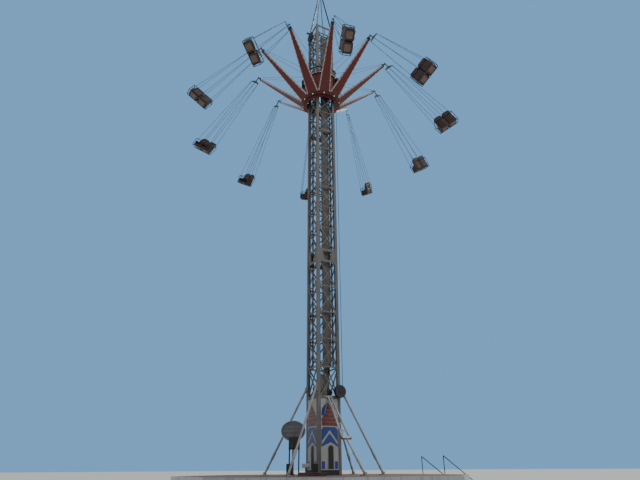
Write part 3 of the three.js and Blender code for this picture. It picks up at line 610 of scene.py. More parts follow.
class RIDE_OT_finishes(bpy.types.Operator):
    """Makes the materials and puts them on the nodes of the solid model"""

    bl_idname = "ride.finishes"
    bl_label = "Finishes"

    SPECIAL = {"crown_ring": "beige_paint", "cable_tray": "beige_paint", "head_sheave": "brown_paint_and_shade",
               "raising_frame": "grey_paint_painted_lit"}

    def execute(self, context):
        make_materials()
        slots = {part["node"]: part["material_slot"] for part in frame["record"]["subparts"]}
        for name, node in NODES.items():
            # The struts and the raising frame take the lighter copy of the grey, which is painted light
            finish = "grey_paint_painted_lit" if name.startswith("strut_") else self.SPECIAL.get(name, slots[name])
            node.data.materials.clear()
            node.data.materials.append(MATERIALS[finish])
        return {"FINISHED"}


class RIDE_OT_seat_shells(bpy.types.Operator):
    """Moulds the double bucket seats, with a tan panel under each bucket"""

    bl_idname = "ride.seat_shells"
    bl_label = "Seat shells"

    # A bucket from the side, and how far it and its hollow reach across
    OUTER = [(-0.212, -0.098), (0.212, -0.098), (0.258, -0.06), (0.259, 0.005), (0.203, 0.222),
             (-0.062, 0.262), (-0.132, 0.418), (-0.176, 0.694), (-0.222, 0.716), (-0.234, 0.69),
             (-0.226, 0.3), (-0.247, 0.0)]
    HOLLOW = [(-0.150, 0.036), (-0.105, 0.0), (0.170, -0.006), (0.268, 0.012), (0.46, 0.012),
              (0.46, 1.0), (-0.199, 1.0), (-0.190, 0.69), (-0.176, 0.3)]
    OUTER_ACROSS, HOLLOW_ACROSS, PANEL_ACROSS = (-0.008, 0.557), (0.02, 0.522), (0.12, 0.44)

    @staticmethod
    def rounded(span, rise, low, high, steps=7):
        """A rectangle with rounded corners: one radius for the low pair and one for the high pair."""
        (x0, x1), (y0, y1) = span, rise
        path = []
        for x, y, radius, start in ((x1 - low, y0 + low, low, 270), (x1 - high, y1 - high, high, 0),
                                    (x0 + high, y1 - high, high, 90), (x0 + low, y0 + low, low, 180)):
            for k in range(steps + 1):
                turn = math.radians(start + 90 * k / steps)
                path.append((x + radius * math.cos(turn), y + radius * math.sin(turn)))
        return path

    @staticmethod
    def solid(outline, along, round_off=0.0):
        shape = bmesh.new()
        slab(shape, outline, along)
        if round_off:
            softened(shape, round_off, 3)
        return shown("seat_part", mesh_of(shape, "seat_part"))

    def tub(self, side):
        """One bucket: its side profile, rounded in front view and from above, less its hollow."""
        x0, x1 = sorted(side * x for x in self.OUTER_ACROSS)
        a, b = sorted(side * x for x in self.HOLLOW_ACROSS)
        body = self.solid([seated(x0, y, z) for y, z in self.OUTER], (x1 - x0, 0, 0), 0.012)
        front = self.rounded((x0, x1), (-0.098, 0.716), 0.09, 0.2)
        above = self.rounded((x0, x1), (-0.247, 0.259), 0.11, 0.15)
        parts = [
            ("INTERSECT", self.solid([seated(x, -0.4, z) for x, z in front], (0, 0.8, 0))),
            ("INTERSECT", self.solid([seated(x, y, -0.3) for x, y in above], (0, 0, 1.3))),
            ("DIFFERENCE", self.solid([seated(a, y, z) for y, z in self.HOLLOW], (b - a, 0, 0), 0.045)),
        ]
        return body, parts

    def shell(self):
        """One double seat, in its hanging frame."""
        (body, parts), (other, others) = self.tub(1), self.tub(-1)
        for holder, cuts in ((other, others), (body, [*parts, ("UNION", other)])):
            for operation, cutter in cuts:
                cut = holder.modifiers.new("cut", "BOOLEAN")
                cut.operation = operation
                cut.solver = "EXACT"
                cut.object = cutter
        rim = body.modifiers.new("rim", "BEVEL")
        rim.width = 0.006
        rim.segments = 2
        rim.limit_method = "ANGLE"
        rim.angle_limit = math.radians(40)
        drawn = as_drawn(body)
        for used in (body, other, *(cutter for _, cutter in parts + others)):
            bpy.data.objects.remove(used)
        if len(drawn.polygons) < 100:
            raise RuntimeError("the seat shell lost its hollows")
        return drawn

    def execute(self, context):
        shell = self.shell()
        shell.materials.clear()
        shape = bmesh.new()
        for side in SIDES:
            x0, x1 = sorted(side * x for x in self.PANEL_ACROSS)
            block(shape, seated(x0, -0.168, -0.112), seated(x1, 0.158, -0.097))
        softened(shape, 0.004, 1)
        panels = mesh_of(shape, "seat_panel")
        hang([("seat_shell_", shell, "seat_shell", "double_seat_"), ("seat_panel_", panels, "tan_panel")])
        return {"FINISHED"}


class RIDE_OT_seat_frames(bpy.types.Operator):
    """Bends the tube frames round the seats and makes the spreaders that the chains hang from"""

    bl_idname = "ride.seat_frames"
    bl_label = "Seat frames"

    # The bent tube at each side, and the cross tubes: low front, low back, lap bar and top
    SIDE = [(-0.200, -0.1193), (0.194, -0.1193), (0.217, 0.337), (-0.281, 0.533)]
    CROSS = [(0.186, -0.1173), (-0.196, -0.1173), (0.210, 0.325), (-0.275, 0.509)]
    HALF = 0.6

    def frame_mesh(self):
        radius = sizes().tube
        shape = bmesh.new()
        for side in SIDES:
            path = cornered([seated(side * self.HALF, y, z) for y, z in self.SIDE], 0.05)
            tube(shape, path, radius, closed=True)

        def across(x, half, at, thick, sides):
            bar(shape, seated(x - half, *at), seated(x + half, *at), thick, sides)

        for at in self.CROSS:
            across(0.0, self.HALF, at, radius * 0.94, 12)
        for x, at in product((-0.5, 0.0, 0.5), self.CROSS[2:]):
            across(x, 0.014, at, 0.025, 10)
        lap_bar = self.CROSS[2]
        for x in (-0.27, 0.27):
            across(x, 0.11, lap_bar, radius * 1.5, 12)
            bar(shape, seated(x, *lap_bar), seated(x, 0.236, 0.06), 0.009, 8)
        for x in (-0.45, -0.09, 0.09, 0.45):
            block(shape, seated(x - 0.02, -0.245, 0.50), seated(x + 0.02, -0.215, 0.518))
            block(shape, seated(x - 0.02, -0.285, 0.50), seated(x + 0.02, -0.222, 0.512))
        return mesh_of(shape, "seat_frame")

    def spreader_mesh(self):
        shape = bmesh.new()
        half, neck, base, edge, stem = 0.280, 0.280, 0.450, 0.400, 0.026
        outline = [(-half, -base), (half, -base), (half, -edge), (stem, -neck), (stem, 0.0), (-stem, 0.0),
                   (-stem, -neck), (-half, -edge)]
        slab(shape, [(x, -0.011, z) for x, z in outline], (0, 0.022, 0))
        softened(shape, 0.003, 1)

        def pin(x, z, reach, radius, sides):
            bar(shape, (x, -reach, z), (x, reach, z), radius, sides)

        bar(shape, (-half, 0, -base + 0.01), (half, 0, -base + 0.01), 0.016, 12)
        pin(0, 0, 0.027, 0.036, 20)
        pin(0, 0, 0.05, 0.0135, 12)
        for side in SIDES:
            block(shape, (-0.022, side * 0.016 - 0.005, -neck), (0.022, side * 0.016 + 0.005, -0.02))
            pin(side * CHAIN_PIN_X, CHAIN_PIN_Z, 0.02, 0.014, 10)
            pin(side * 0.1, -0.4, 0.016, 0.011, 8)
        pin(0, CHAIN_PIN_Z, 0.02, 0.014, 10)
        return mesh_of(shape, "spreader")

    def execute(self, context):
        hang([("seat_frame_", self.frame_mesh(), "galvanised_steel", "hanger_"),
              ("spreader_", self.spreader_mesh(), "galvanised_steel", "hanger_")])
        return {"FINISHED"}


class RIDE_OT_chains(bpy.types.Operator):
    """Links the six chains of each seat"""

    bl_idname = "ride.chains"
    bl_label = "Chains"

    BEND = 0.011
    # Across the spreader, and where the chain meets the lap bar or the top tube
    LANDINGS = ((0.011, (0.210, 0.342)), (-0.011, (-0.275, 0.526)))

    def link(self, pitch):
        """A long link round Z, made from a bent round wire."""
        wire = sizes().chain_wire
        shape = bmesh.new()
        bmesh.ops.create_circle(shape, segments=3, radius=wire, matrix=moved(self.BEND))
        bmesh.ops.spin(shape, geom=list(shape.verts) + list(shape.edges), cent=(0, 0, 0), axis=(0, 1, 0),
                       angle=2 * math.pi, steps=10, use_merge=True)
        bmesh.ops.remove_doubles(shape, verts=shape.verts, dist=1e-5)
        for side in SIDES:
            ends = [v for v in shape.verts if v.co.z * side > 1e-4]
            bmesh.ops.translate(shape, vec=(0, 0, side * (pitch / 2 - self.BEND + wire * 0.6)), verts=ends)
        return mesh_of(shape, "link")

    def chain(self, start, end):
        start, end = Vector(start), Vector(end)
        along = end - start
        count = round(along.length / sizes().chain_pitch)
        link = self.link(along.length / count)
        turn = Vector((0, 0, -1)).rotation_difference(along).to_matrix().to_4x4()
        shape = bmesh.new()
        for k in range(count):
            quarter = about("Z", 90 * (k % 2))
            copied(shape, link, Matrix.Translation(start + along * (k + 0.5) / count) @ turn @ quarter)
        return mesh_of(shape, "chain")

    def execute(self, context):
        shape = bmesh.new()
        for place, (y, low) in product((-1, 0, 1), self.LANDINGS):
            copied(shape, self.chain((place * CHAIN_PIN_X, y, CHAIN_PIN_Z), seated(place * 0.5, *low)))
        hang([("chains_", mesh_of(shape, "chains"), "galvanised_steel", "hanger_")], flat=True)
        return {"FINISHED"}


class RIDE_OT_arm_trim(bpy.types.Operator):
    """Puts pale strips of painted light on the arms' side faces, for their lit sides, with lamps, end caps
    and pivot pins
    """

    bl_idname = "ride.arm_trim"
    bl_label = "Arm trim"

    # The underside of an arm at both ends: distance out, half width and height
    ROOT, TIP = Vector((1.09, 0.345, 21.684)), Vector((3.925, 0.088, 24.121))
    LAMPS, PLATES = 14, 5
    CAP = [(3.80, -0.104, 24.008), (3.93, -0.093, 24.116), (3.93, 0.093, 24.116), (3.80, 0.104, 24.008)]

    def strip_end(self, shape, end, side, place):
        """One end of a pale strip of painted light, which is narrower at the tip."""
        x, half, low = end
        inner = side * (half - sizes().strip * (0.55 if end is self.TIP else 1.0))
        outer = side * (half + 0.003)
        return shape.faces.new([shape.verts.new(place @ Vector((x, y, low + z))) for y, z in (
            (inner, -0.006), (outer, -0.006), (outer, 0.084), (inner, 0.084))])

    def execute(self, context):
        strip = sizes().strip
        lamp_out = Vector((-0.4, 0, -1)).normalized() * 0.016
        for number, place in zip(NUMBERS, spun(ARMS)):
            trim, lamps, fittings, caps = fresh(4)
            for side in SIDES:
                ends = [self.strip_end(trim, end, side, place) for end in (self.ROOT, self.TIP)]
                bmesh.ops.bridge_loops(trim, edges=[edge for face in ends for edge in face.edges])
                for k in range(self.LAMPS):
                    at = self.ROOT.lerp(self.TIP, (k + 0.5) / self.LAMPS)
                    spot = Vector((at.x, side * (at.y - strip * 0.4), at.z - 0.006))
                    bar(lamps, spot, spot + lamp_out, 0.016, 8, 0.010, place)
                for near, far, radius, sides in ((0.046, 0.054, 0.03, 14), (0.054, 0.068, 0.022, 6)):
                    bar(fittings, PIVOT + Vector((0, side * near, 0)), PIVOT + Vector((0, side * far, 0)),
                        radius, sides, place=place)
            for k in range(self.PLATES):
                at = self.ROOT.lerp(self.TIP, (k + 1) / (self.PLATES + 1))
                block(fittings, (at.x - 0.02, -at.y + strip, at.z + 0.06),
                      (at.x + 0.02, at.y - strip, at.z + 0.092), place)
            slab(caps, self.CAP, (0, 0, 0.094), place)
            piece("arm_caps_" + number, caps, "dark_paint", "crown", flat=True)
            # The pale strips are painted light on the arms' side faces
            piece("arm_strips_" + number, trim, "strip_painted_light", "crown", flat=True)
            piece("arm_lamps_" + number, lamps, "lamp_cover", "crown")
            piece("arm_fittings_" + number, fittings, "galvanised_steel", "crown")
        return {"FINISHED"}


class RIDE_OT_crown_trim(bpy.types.Operator):
    """Adds the lamps, bolts and clevises of the turning crown"""

    bl_idname = "ride.crown_trim"
    bl_label = "Crown trim"

    LAMP_HEIGHT = 21.618

    def execute(self, context):
        lamps, fixings = fresh(2)
        radius, high = sizes().lamp, self.LAMP_HEIGHT
        dome = [(0.0, radius * 0.9), (radius * 0.5, radius * 0.78), (radius * 0.86, radius * 0.45),
                (radius, 0.0), (radius, -0.01)]
        for flat in spun(ARMS):
            turned(lamps, dome, 16, flat @ moved(DECAGON + 0.002, 0, high) @ about("Y", 90))
            bar(fixings, (DECAGON - 0.01, 0, high), (DECAGON + 0.005, 0, high), radius * 1.25, 16, place=flat)
            bolts(fixings, product([DECAGON], (-0.28, -0.14, 0.14, 0.28), [21.61]), (1, 0, 0), 0.028, flat)
            bolts(fixings, product([1.022], (-0.24, 0.0, 0.24), [21.541]), (0, 0, -1), 0.02, flat)
            for y in (-0.21, 0.21):
                block(fixings, (0.955, y - 0.045, 23.67), (0.972, y + 0.045, 23.79), flat)
            block(fixings, (1.086, -0.347, 21.672), (1.13, 0.347, 21.683), flat)
        piece("crown_lamps", lamps, "lamp_cover", "crown")
        piece("crown_fixings", fixings, "galvanised_steel", "crown")
        return {"FINISHED"}


class RIDE_OT_drum_trim(bpy.types.Operator):
    """Adds a white band on the red flange, a painted highlight for the glint along its edge, with lamps, and
    the ribs, hatches and bolts of the climbing drum
    """

    bl_idname = "ride.drum_trim"
    bl_label = "Drum trim"

    # The white band along the top flange is a painted highlight for the glint on the flange's edge
    BAND = [(0.93, 23.303), (0.957, 23.301), (0.963, 23.306), (0.963, 23.353), (0.957, 23.358),
            (0.93, 23.356), (0.93, 23.303)]
    STEPS = 24
    RIB_EVERY, HATCHES = 3, (9, 14, 17, 20)
    HATCH_FACE = 0.884

    def execute(self, context):
        band, lamps, ribs, hatches, fixings = fresh(5)
        turned(band, self.BAND, 96)
        for k, turn in enumerate(spun(self.STEPS)):
            bar(lamps, (0.958, 0, 23.33), (0.974, 0, 23.33), 0.021, 10, 0.014, turn)
            bolts(fixings, [(0.945, 0, 21.481)], (0, 0, -1), 0.026, turn)
            if k % self.RIB_EVERY == 0:
                block(ribs, (0.87, -0.009, 21.76), (0.905, 0.009, 23.29), turn)
            if k in self.HATCHES:
                block(hatches, (0.875, -0.085, 22.15), (self.HATCH_FACE, 0.085, 22.75), turn)
                block(hatches, (self.HATCH_FACE, 0.05, 22.42), (0.905, 0.066, 22.50), turn)
                bolts(fixings, product([self.HATCH_FACE], (-0.07, 0.07), (22.17, 22.45, 22.73)), (1, 0, 0),
                      0.016, turn)
        softened(hatches, 0.003, 1)
        # White paint on the red flange: a painted highlight
        piece("drum_glint_band", band, "white_panel", "carriage", slot="red_paint")
        piece("drum_lamps", lamps, "lamp_cover", "carriage")
        piece("drum_ribs", ribs, "red_paint", "carriage", flat=True)
        piece("drum_hatches", hatches, "red_paint", "carriage", flat=True)
        piece("drum_bolts", fixings, "galvanised_steel", "carriage", flat=True)
        return {"FINISHED"}


class RIDE_OT_slew_motors(bpy.types.Operator):
    """Builds up the two slewing motors: gearbox, cooling fins, fan cowl and terminal box"""

    bl_idname = "ride.slew_motors"
    bl_label = "Slewing motors"

    AZIMUTHS = {"front": -45, "left": 165}
    SHAFT = 1.06
    FOOT = [(0.0, 22.12), (0.12, 22.12), (0.14, 22.14), (0.14, 22.19), (0.0, 22.19)]
    COLLAR = [(0.0, 22.55), (0.15, 22.55), (0.15, 22.60), (0.112, 22.63), (0.0, 22.63)]
    COWL = [(0.0, 23.15), (0.128, 23.15), (0.132, 23.16), (0.132, 23.27), (0.11, 23.30), (0.05, 23.305),
            (0.0, 23.305)]

    def execute(self, context):
        for name, azimuth in self.AZIMUTHS.items():
            place = about("Z", azimuth)
            axis = place @ moved(self.SHAFT)
            gearbox, motor = fresh(2)
            block(gearbox, (0.905, -0.165, 22.18), (1.225, 0.165, 22.56), place)
            block(gearbox, (0.905, -0.19, 22.60), (0.945, 0.19, 23.22), place)
            softened(gearbox, 0.018, 2)
            turned(gearbox, self.FOOT, 24, axis)
            turned(gearbox, self.COLLAR, 24, axis)
            for turn in spun(24):
                block(motor, (0.10, -0.003, 22.64), (0.136, 0.003, 23.14), axis @ turn)
            turned(motor, self.COWL, 24, axis)
            for z in (22.64, 23.11):
                turned(motor, hoop(0.1, 0.14, z, z + 0.03), 24, axis)
            block(motor, (1.04, 0.12, 22.78), (1.16, 0.185, 22.96), place)
            bolts(motor, product([1.225], (-0.12, 0.12), (22.23, 22.51)), (1, 0, 0), 0.03, place)
            piece("gearbox_" + name, gearbox, "red_paint", "carriage")
            piece("motor_fins_" + name, motor, "dark_paint", "carriage")
        return {"FINISHED"}


class RIDE_OT_tower_joints(bpy.types.Operator):
    """Adds the gussets, crossing plates and bolts of the lattice, and dark sleeves of painted shade on its
    inner rails
    """

    bl_idname = "ride.tower_joints"
    bl_label = "Tower joints"

    # Foot, top and bays of each length of lattice, the joints between them, and the lengths of rail
    LENGTHS = [(4.56, 11.2, 5), (11.8, 19.3497, 6), (19.35, 26.9, 6)]
    JOINTS = (11.23, 11.83, 19.38)
    RAILS = ((5.92, 11.18), (11.22, 11.78), (11.82, 19.33), (19.37, 26.88))

    def execute(self, context):
        plates, rails, fixings = fresh(3)
        face, out = -LATTICE_FACE, Vector((0, -1, 0))
        for turn in spun(4):
            for low, high, bays in self.LENGTHS:
                pitch = (high - low - 0.06) / bays
                for k in range(bays + 1):
                    z = low + 0.03 + k * pitch
                    for side in SIDES:
                        x0, x1 = side * 0.436, side * 0.30
                        slab(plates, [(x0, face, z - 0.1), (x0, face, z + 0.1), (x1, face, z + 0.028),
                                      (x1, face, z - 0.028)], out * 0.005, turn)
                        bolts(fixings, [(side * x, face - 0.005, z) for x in (0.41, 0.35)], out, 0.012, turn)
                    if k < bays:
                        middle = Vector((0, face, z + pitch / 2))
                        bar(plates, middle, middle + out * 0.005, 0.07, 8, place=turn)
            for z in self.JOINTS:
                bolts(fixings, [(x, face, z) for x in (-0.40, -0.2, 0.0, 0.2, 0.40)], out, 0.014, turn)
        # Dark brown sleeves round the four inner rails: painted shade for the shade inside the tower
        for sx, sy in product(SIDES, SIDES):
            x, y = sx * RAIL, sy * RAIL
            for z0, z1 in self.RAILS:
                block(rails, (x - RAIL_HALF, y - RAIL_HALF, z0), (x + RAIL_HALF, y + RAIL_HALF, z1))
        piece("lattice_plates", plates, "grey_paint", flat=True)
        piece("lattice_bolts", fixings, "galvanised_steel", flat=True)
        # The sleeves are painted shade
        piece("rail_painted_shade", rails, "brown_paint_and_shade", flat=True)
        return {"FINISHED"}


class RIDE_OT_tray_and_ladder(bpy.types.Operator):
    """Lays cables in the upright tray, with clamps, and sets climbing rungs beside it"""

    bl_idname = "ride.tray_and_ladder"
    bl_label = "Tray and ladder"

    # Place across the tray and radius of each cable
    CABLES = ((-0.11, 0.02), (-0.05, 0.014), (0.0, 0.018), (0.065, 0.016), (0.105, 0.012), (0.14, 0.016),
              (0.185, 0.009), (0.215, 0.02))
    FIRST, PITCH, RUNGS = 6.2, 0.79, 26

    def execute(self, context):
        cables, clamps, rungs = fresh(3)
        for x, radius in self.CABLES:
            bar(cables, (x, CABLE_PLANE, 5.97), (x, CABLE_PLANE, 26.79), radius, 8)
        for k in range(self.RUNGS):
            z = self.FIRST + self.PITCH * k
            block(clamps, (-0.144, -0.294, z), (0.274, -0.276, z + 0.03))
            block(clamps, (0.262, -0.30, z + 0.2), (0.338, -0.276, z + 0.23))
            bar(rungs, (-0.33, -0.355, z), (-0.15, -0.355, z), 0.013, 10)
            for x in (-0.318, -0.166):
                bar(rungs, (x - 0.006, -0.355, z), (x + 0.006, -0.355, z), 0.022, 10)
        piece("tray_cables", cables, "cable_sheath")
        piece("tray_clamps", clamps, "galvanised_steel", flat=True)
        piece("climbing_rungs", rungs, "galvanised_steel")
        return {"FINISHED"}


class RIDE_OT_drive(bpy.types.Operator):
    """Finishes the hydraulic drive: cabinet doors, motor fins, filler, hoses and the cables up to the tray"""

    bl_idname = "ride.drive"
    bl_label = "Drive"

    # Edges of each door and its knob
    DOORS = ((-0.394, -0.214, -0.235), (-0.206, -0.026, -0.185))
    MOTOR = moved(0.19, 0, 4.8) @ about("X", 90)
    COWL = [(0.0, 0.245), (0.135, 0.245), (0.14, 0.255), (0.14, 0.29), (0.11, 0.31), (0.04, 0.312),
            (0.0, 0.312)]
    FILLER = [(0.0, 5.058), (0.05, 5.058), (0.05, 5.085), (0.038, 5.11), (0.0, 5.11)]
    # Start, height of the arch and end
    HOSES = (((-0.12, 0.02, 5.05), 5.26, (0.13, 0.20, 4.86)), ((-0.10, 0.12, 5.05), 5.20, (0.19, 0.22, 4.87)),
             ((-0.20, 0.20, 5.05), 5.32, (0.25, 0.20, 4.86)))

    def execute(self, context):
        doors, metal, fins, hoses = fresh(4)
        block(doors, (-0.402, -0.422, 4.64), (-0.018, -0.268, 5.563))
        for x0, x1, knob in self.DOORS:
            block(doors, (x0, -0.434, 4.67), (x1, -0.421, 5.53))
            bar(metal, (knob, -0.434, 5.12), (knob, -0.452, 5.12), 0.016, 12)
            for k in range(6):
                block(metal, (x0 + 0.03, -0.439, 4.72 + 0.026 * k), (x1 - 0.03, -0.433, 4.73 + 0.026 * k))
        softened(doors, 0.005, 1)
        for turn in spun(28):
            block(fins, (0.12, -0.003, -0.08), (0.15, 0.003, 0.20), self.MOTOR @ turn)
        turned(fins, self.COWL, 28, self.MOTOR)
        block(fins, (0.12, -0.10, 4.915), (0.26, 0.04, 4.985))
        turned(metal, self.FILLER, 20, moved(-0.31, -0.15))
        block(metal, (-0.415, -0.262, 5.035), (-0.025, 0.282, 5.05))
        block(metal, (-0.405, -0.02, 4.72), (-0.399, 0.02, 4.98))
        bolts(metal, product((-0.41, 0.0, 0.39), (-0.13, 0.28), [4.625]), (0, 0, 1), 0.026)
        for k, (start, high, end) in enumerate(self.HOSES):
            path = [start, (*start[:2], high), (*end[:2], high), end]
            tube(hoses, cornered(path, 0.09, closed=False, steps=6), 0.017 - 0.002 * k)
        for k, (x, _) in enumerate(RIDE_OT_tray_and_ladder.CABLES[:5]):
            foot = -0.33 + 0.06 * k
            path = [(at, CABLE_PLANE, z) for at, z in ((foot, 5.555), (foot, 5.70), (x, 5.84), (x, 5.98))]
            tube(hoses, cornered(path, 0.05, closed=False), 0.011)
        piece("drive_doors", doors, "grey_paint")
        piece("drive_metal", metal, "galvanised_steel")
        piece("drive_motor_fins", fins, "dark_paint")
        piece("drive_hoses", hoses, "cable_sheath")
        return {"FINISHED"}


class RIDE_OT_reel(bpy.types.Operator):
    """Winds the cable on its reel, adds the spokes and rims, and runs it up to the carriage"""

    bl_idname = "ride.reel"
    bl_label = "Cable reel"

    LAPS, LAP_PITCH, LAP_RADIUS = 4, 0.025, 0.0115

    def wound(self):
        """The profile of the cable's laps on the drum."""
        profile = [(0.12, -0.05)]
        for k in range(self.LAPS):
            middle = -0.0375 + self.LAP_PITCH * k
            profile += [(0.134 + self.LAP_RADIUS * math.sin(math.pi * t / 4),
                         middle - self.LAP_RADIUS * math.cos(math.pi * t / 4)) for t in range(5)]
        return [*profile, (0.12, 0.05), (0.12, -0.05)]

    def execute(self, context):
        cable, rims, run = fresh(3)
        turned(cable, self.wound(), 40, REEL_PLACE)
        for side in SIDES:
            z = side * 0.060
            turned(rims, [(0.262, z - 0.014), (0.279, z - 0.014), (0.283, z), (0.279, z + 0.014),
                          (0.262, z + 0.014), (0.262, z - 0.014)], 40, REEL_PLACE)
            for turn in spun(8):
                block(rims, (0.055, -0.014, z + side * 0.009), (0.262, 0.014, z + side * 0.016),
                      REEL_PLACE @ turn)
            turned(rims, [(0.0, z), (0.075, z), (0.075, z + side * 0.02), (0.05, z + side * 0.034),
                          (0.0, z + side * 0.034)], 20, REEL_PLACE)
        piece("wound_cable", cable, "cable_sheath")
        piece("reel_rims", rims, "dark_paint")
        low, high = (Vector(corner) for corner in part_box("reel_cable"))
        x, y = (low.x + high.x) / 2, (low.y + high.y) / 2
        bar(run, (x, y, low.z), (x, y, high.z), 0.0118, 20)
        made = finished("running_cable", run, "cable_sheath")
        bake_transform(made)
        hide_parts("reel_cable")
        return {"FINISHED"}


class RIDE_OT_head_fittings(bpy.types.Operator):
    """Fits out the sheave at the head, the guard hoops under it and the collars of the spire"""

    bl_idname = "ride.head_fittings"
    bl_label = "Head fittings"

    SHEAVE = moved(0, 0.15, 26.94) @ about("Y", -90)
    GUARD = [(-0.44, 26.6), (-0.36, 26.32), (-0.2, 26.16), (0.0, 26.11), (0.2, 26.16), (0.36, 26.32),
             (0.44, 26.6)]
    STAY, STAY_BOLT = 0.51, 0.055
    CAP = [(0.0, 31.59), (0.05, 31.59), (0.066, 31.575), (0.066, 31.53), (0.0, 31.53)]

    def execute(self, context):
        wheel, hoops, collars = fresh(3)
        for x in (0.612, 0.722):
            turned(wheel, [(0.225, x), (0.255, x), (0.26, x + 0.006), (0.26, x + 0.012), (0.255, x + 0.018),
                           (0.225, x + 0.018), (0.225, x)], 40, self.SHEAVE)
        for turn in spun(6):
            spoke = self.SHEAVE @ turn
            block(wheel, (0.06, -0.018, 0.728), (0.23, 0.018, 0.742), spoke)
            bar(wheel, (0.045, 0, 0.76), (0.045, 0, 0.784), 0.011, 6, place=spoke)
        bolts(wheel, product([-0.604], (0.46, 0.54), (26.66, 26.8, 27.1, 27.22)), (-1, 0, 0), 0.03)
        bar(wheel, (-0.9, 0.15, 27.20), (-0.9, 0.15, 27.12), 0.028, 12)
        near, far, stay = self.STAY - self.STAY_BOLT, self.STAY + self.STAY_BOLT, self.STAY
        for turn in spun(4):
            path = cornered([(x, -0.556, z) for x, z in self.GUARD], 0.06, closed=False)
            tube(hoops, path, 0.018, place=turn)
            bar(collars, (stay, stay, 27.50), (stay, stay, 27.535), 0.075, 16, place=turn)
            spots = ((near, stay), (far, stay), (stay, near), (stay, far))
            bolts(collars, [(*spot, 27.5243) for spot in spots], (0, 0, 1), 0.022, turn)
        turned(collars, self.CAP, 20)
        for z in (31.36, 31.46):
            turned(collars, hoop(0.05, 0.069, z, z + 0.02), 20)
        piece("sheave_rims", wheel, "dark_paint")
        piece("guard_hoops", hoops, "grey_paint")
        piece("spire_collars", collars, "dark_paint")
        return {"FINISHED"}


class RIDE_OT_panel_art(bpy.types.Operator):
    """Cuts the plain painted shapes on the four base panels, and a dark arch of painted shade in each for the
    shaded hollow of a niche
    """

    bl_idname = "ride.panel_art"
    bl_label = "Panel shapes"

    BLUE = [
        [(-0.41, 2.46), (-0.20, 2.56), (0.05, 2.66), (0.26, 2.56), (0.41, 2.46), (0.41, 3.16), (0.30, 3.28),
         (-0.30, 3.28), (-0.41, 3.16)],
        [(-0.40, 3.75), (-0.25, 3.75), (-0.21, 3.96), (-0.13, 4.34), (-0.22, 4.22), (-0.38, 4.05)],
        [(-0.40, 1.6), (-0.24, 1.6), (-0.24, 1.90), (-0.40, 1.90)],
        [(0.24, 1.6), (0.40, 1.6), (0.40, 1.90), (0.24, 1.90)],
    ]
    PLINTH = [(-0.436, 1.36), (0.436, 1.36), (0.436, 1.56), (-0.436, 1.56)]
    # Low and high corners of the strips round a panel
    FRAME = (((-0.4397, 1.331), (-0.428, 4.494)), ((0.428, 1.331), (0.4397, 4.494)),
             ((-0.428, 4.478), (0.428, 4.494)), ((-0.428, 1.331), (0.428, 1.347)))
    # The brickwork: its foot, where it starts to lean in, its apex and its half width
    BRICK_LOW, BRICK_STEP, BRICK_APEX, BRICK_HALF = 3.33, 3.74, Vector((-0.10, 4.32)), 0.40
    COURSES, BRICK = 6, 0.19

    @staticmethod
    def arch(x, half, low, high, steps=12):
        """An upright shape with a half-round top."""
        spring = high - half
        top = [(x + half * math.cos(math.pi * k / steps), spring + half * math.sin(math.pi * k / steps))
               for k in range(steps + 1)]
        return [(x - half, low), (x + half, low), *top]

    @staticmethod
    def chevron(apex, foot, reach, thick):
        """A band bent to a point, apex up."""
        drop = thick * math.hypot(1.0, (apex - foot) / reach)
        return [[(0.0, apex), (side * reach, foot), (side * reach, foot - drop), (0.0, apex - drop)]
                for side in SIDES]

    def course_edges(self, z):
        """The left and right end of the brickwork at a height."""
        t = max(0.0, (z - self.BRICK_STEP) / (self.BRICK_APEX.y - self.BRICK_STEP))
        lean = self.BRICK_APEX.x * t
        left = self.BRICK_HALF if z < self.BRICK_STEP + 0.01 else 0.24 * (1 - t)
        return lean - left, lean + self.BRICK_HALF * (1 - t)

    def red_courses(self):
        """Courses of brick: a square foot under a leaning triangle."""
        rise = (self.BRICK_APEX.y - self.BRICK_LOW) / self.COURSES
        shapes = []
        for k in range(self.COURSES):
            z0, z1 = self.BRICK_LOW + k * rise, self.BRICK_LOW + (k + 1) * rise - 0.010
            (left, right), (top_left, top_right) = self.course_edges(z0), self.course_edges(z1)
            joints = [left, *(self.BRICK * (j + 0.5 * (k % 2)) for j in range(-2, 3)), right]
            for a, b in zip(joints, joints[1:]):
                a, b = max(a, left), min(b, right)
                if b - a < 0.04:
                    continue
                a, b = a + 0.003, b - 0.003
                top = [(max(min(x, top_right), top_left), z1) for x in (b, a)]
                shapes.append([(a, z0), (b, z0), *top])
        return shapes

    def execute(self, context):
        layers = [
            ("blue", "blue_shape", 0.002, self.BLUE),
            ("red", "red_shape", 0.002, self.red_courses()),
            ("white", "white_panel", 0.004, [*self.chevron(3.16, 2.70, 0.385, 0.085),
                                             self.arch(0.05, 0.19, 1.60, 2.62)]),
            # The dark arch is painted shade for the shaded hollow of an arched niche in each panel
            ("dark", "dark_paint", 0.006, [self.arch(0.05, 0.13, 1.60, 2.54), self.PLINTH]),
        ]
        for name, finish, thick, outlines in layers:
            shape = bmesh.new()
            for turn, outline in product(spun(4), outlines):
                slab(shape, [(x, -PANEL_FACE, z) for x, z in outline], (0, -thick, 0), turn)
            piece("panel_shapes_" + name, shape, finish, flat=True, slot="white_panel")
        trim = bmesh.new()
        face = -PANEL_FACE - 0.003
        for turn in spun(4):
            for low, high in self.FRAME:
                block(trim, (low[0], face, low[1]), (high[0], -PANEL_FACE, high[1]), turn)
            bolts(trim, [(side * 0.434, face, z) for z in (1.75, 2.6, 3.45, 4.3) for side in SIDES],
                  (0, -1, 0), 0.01, turn)
        piece("panel_trim", trim, "galvanised_steel", flat=True)
        return {"FINISHED"}


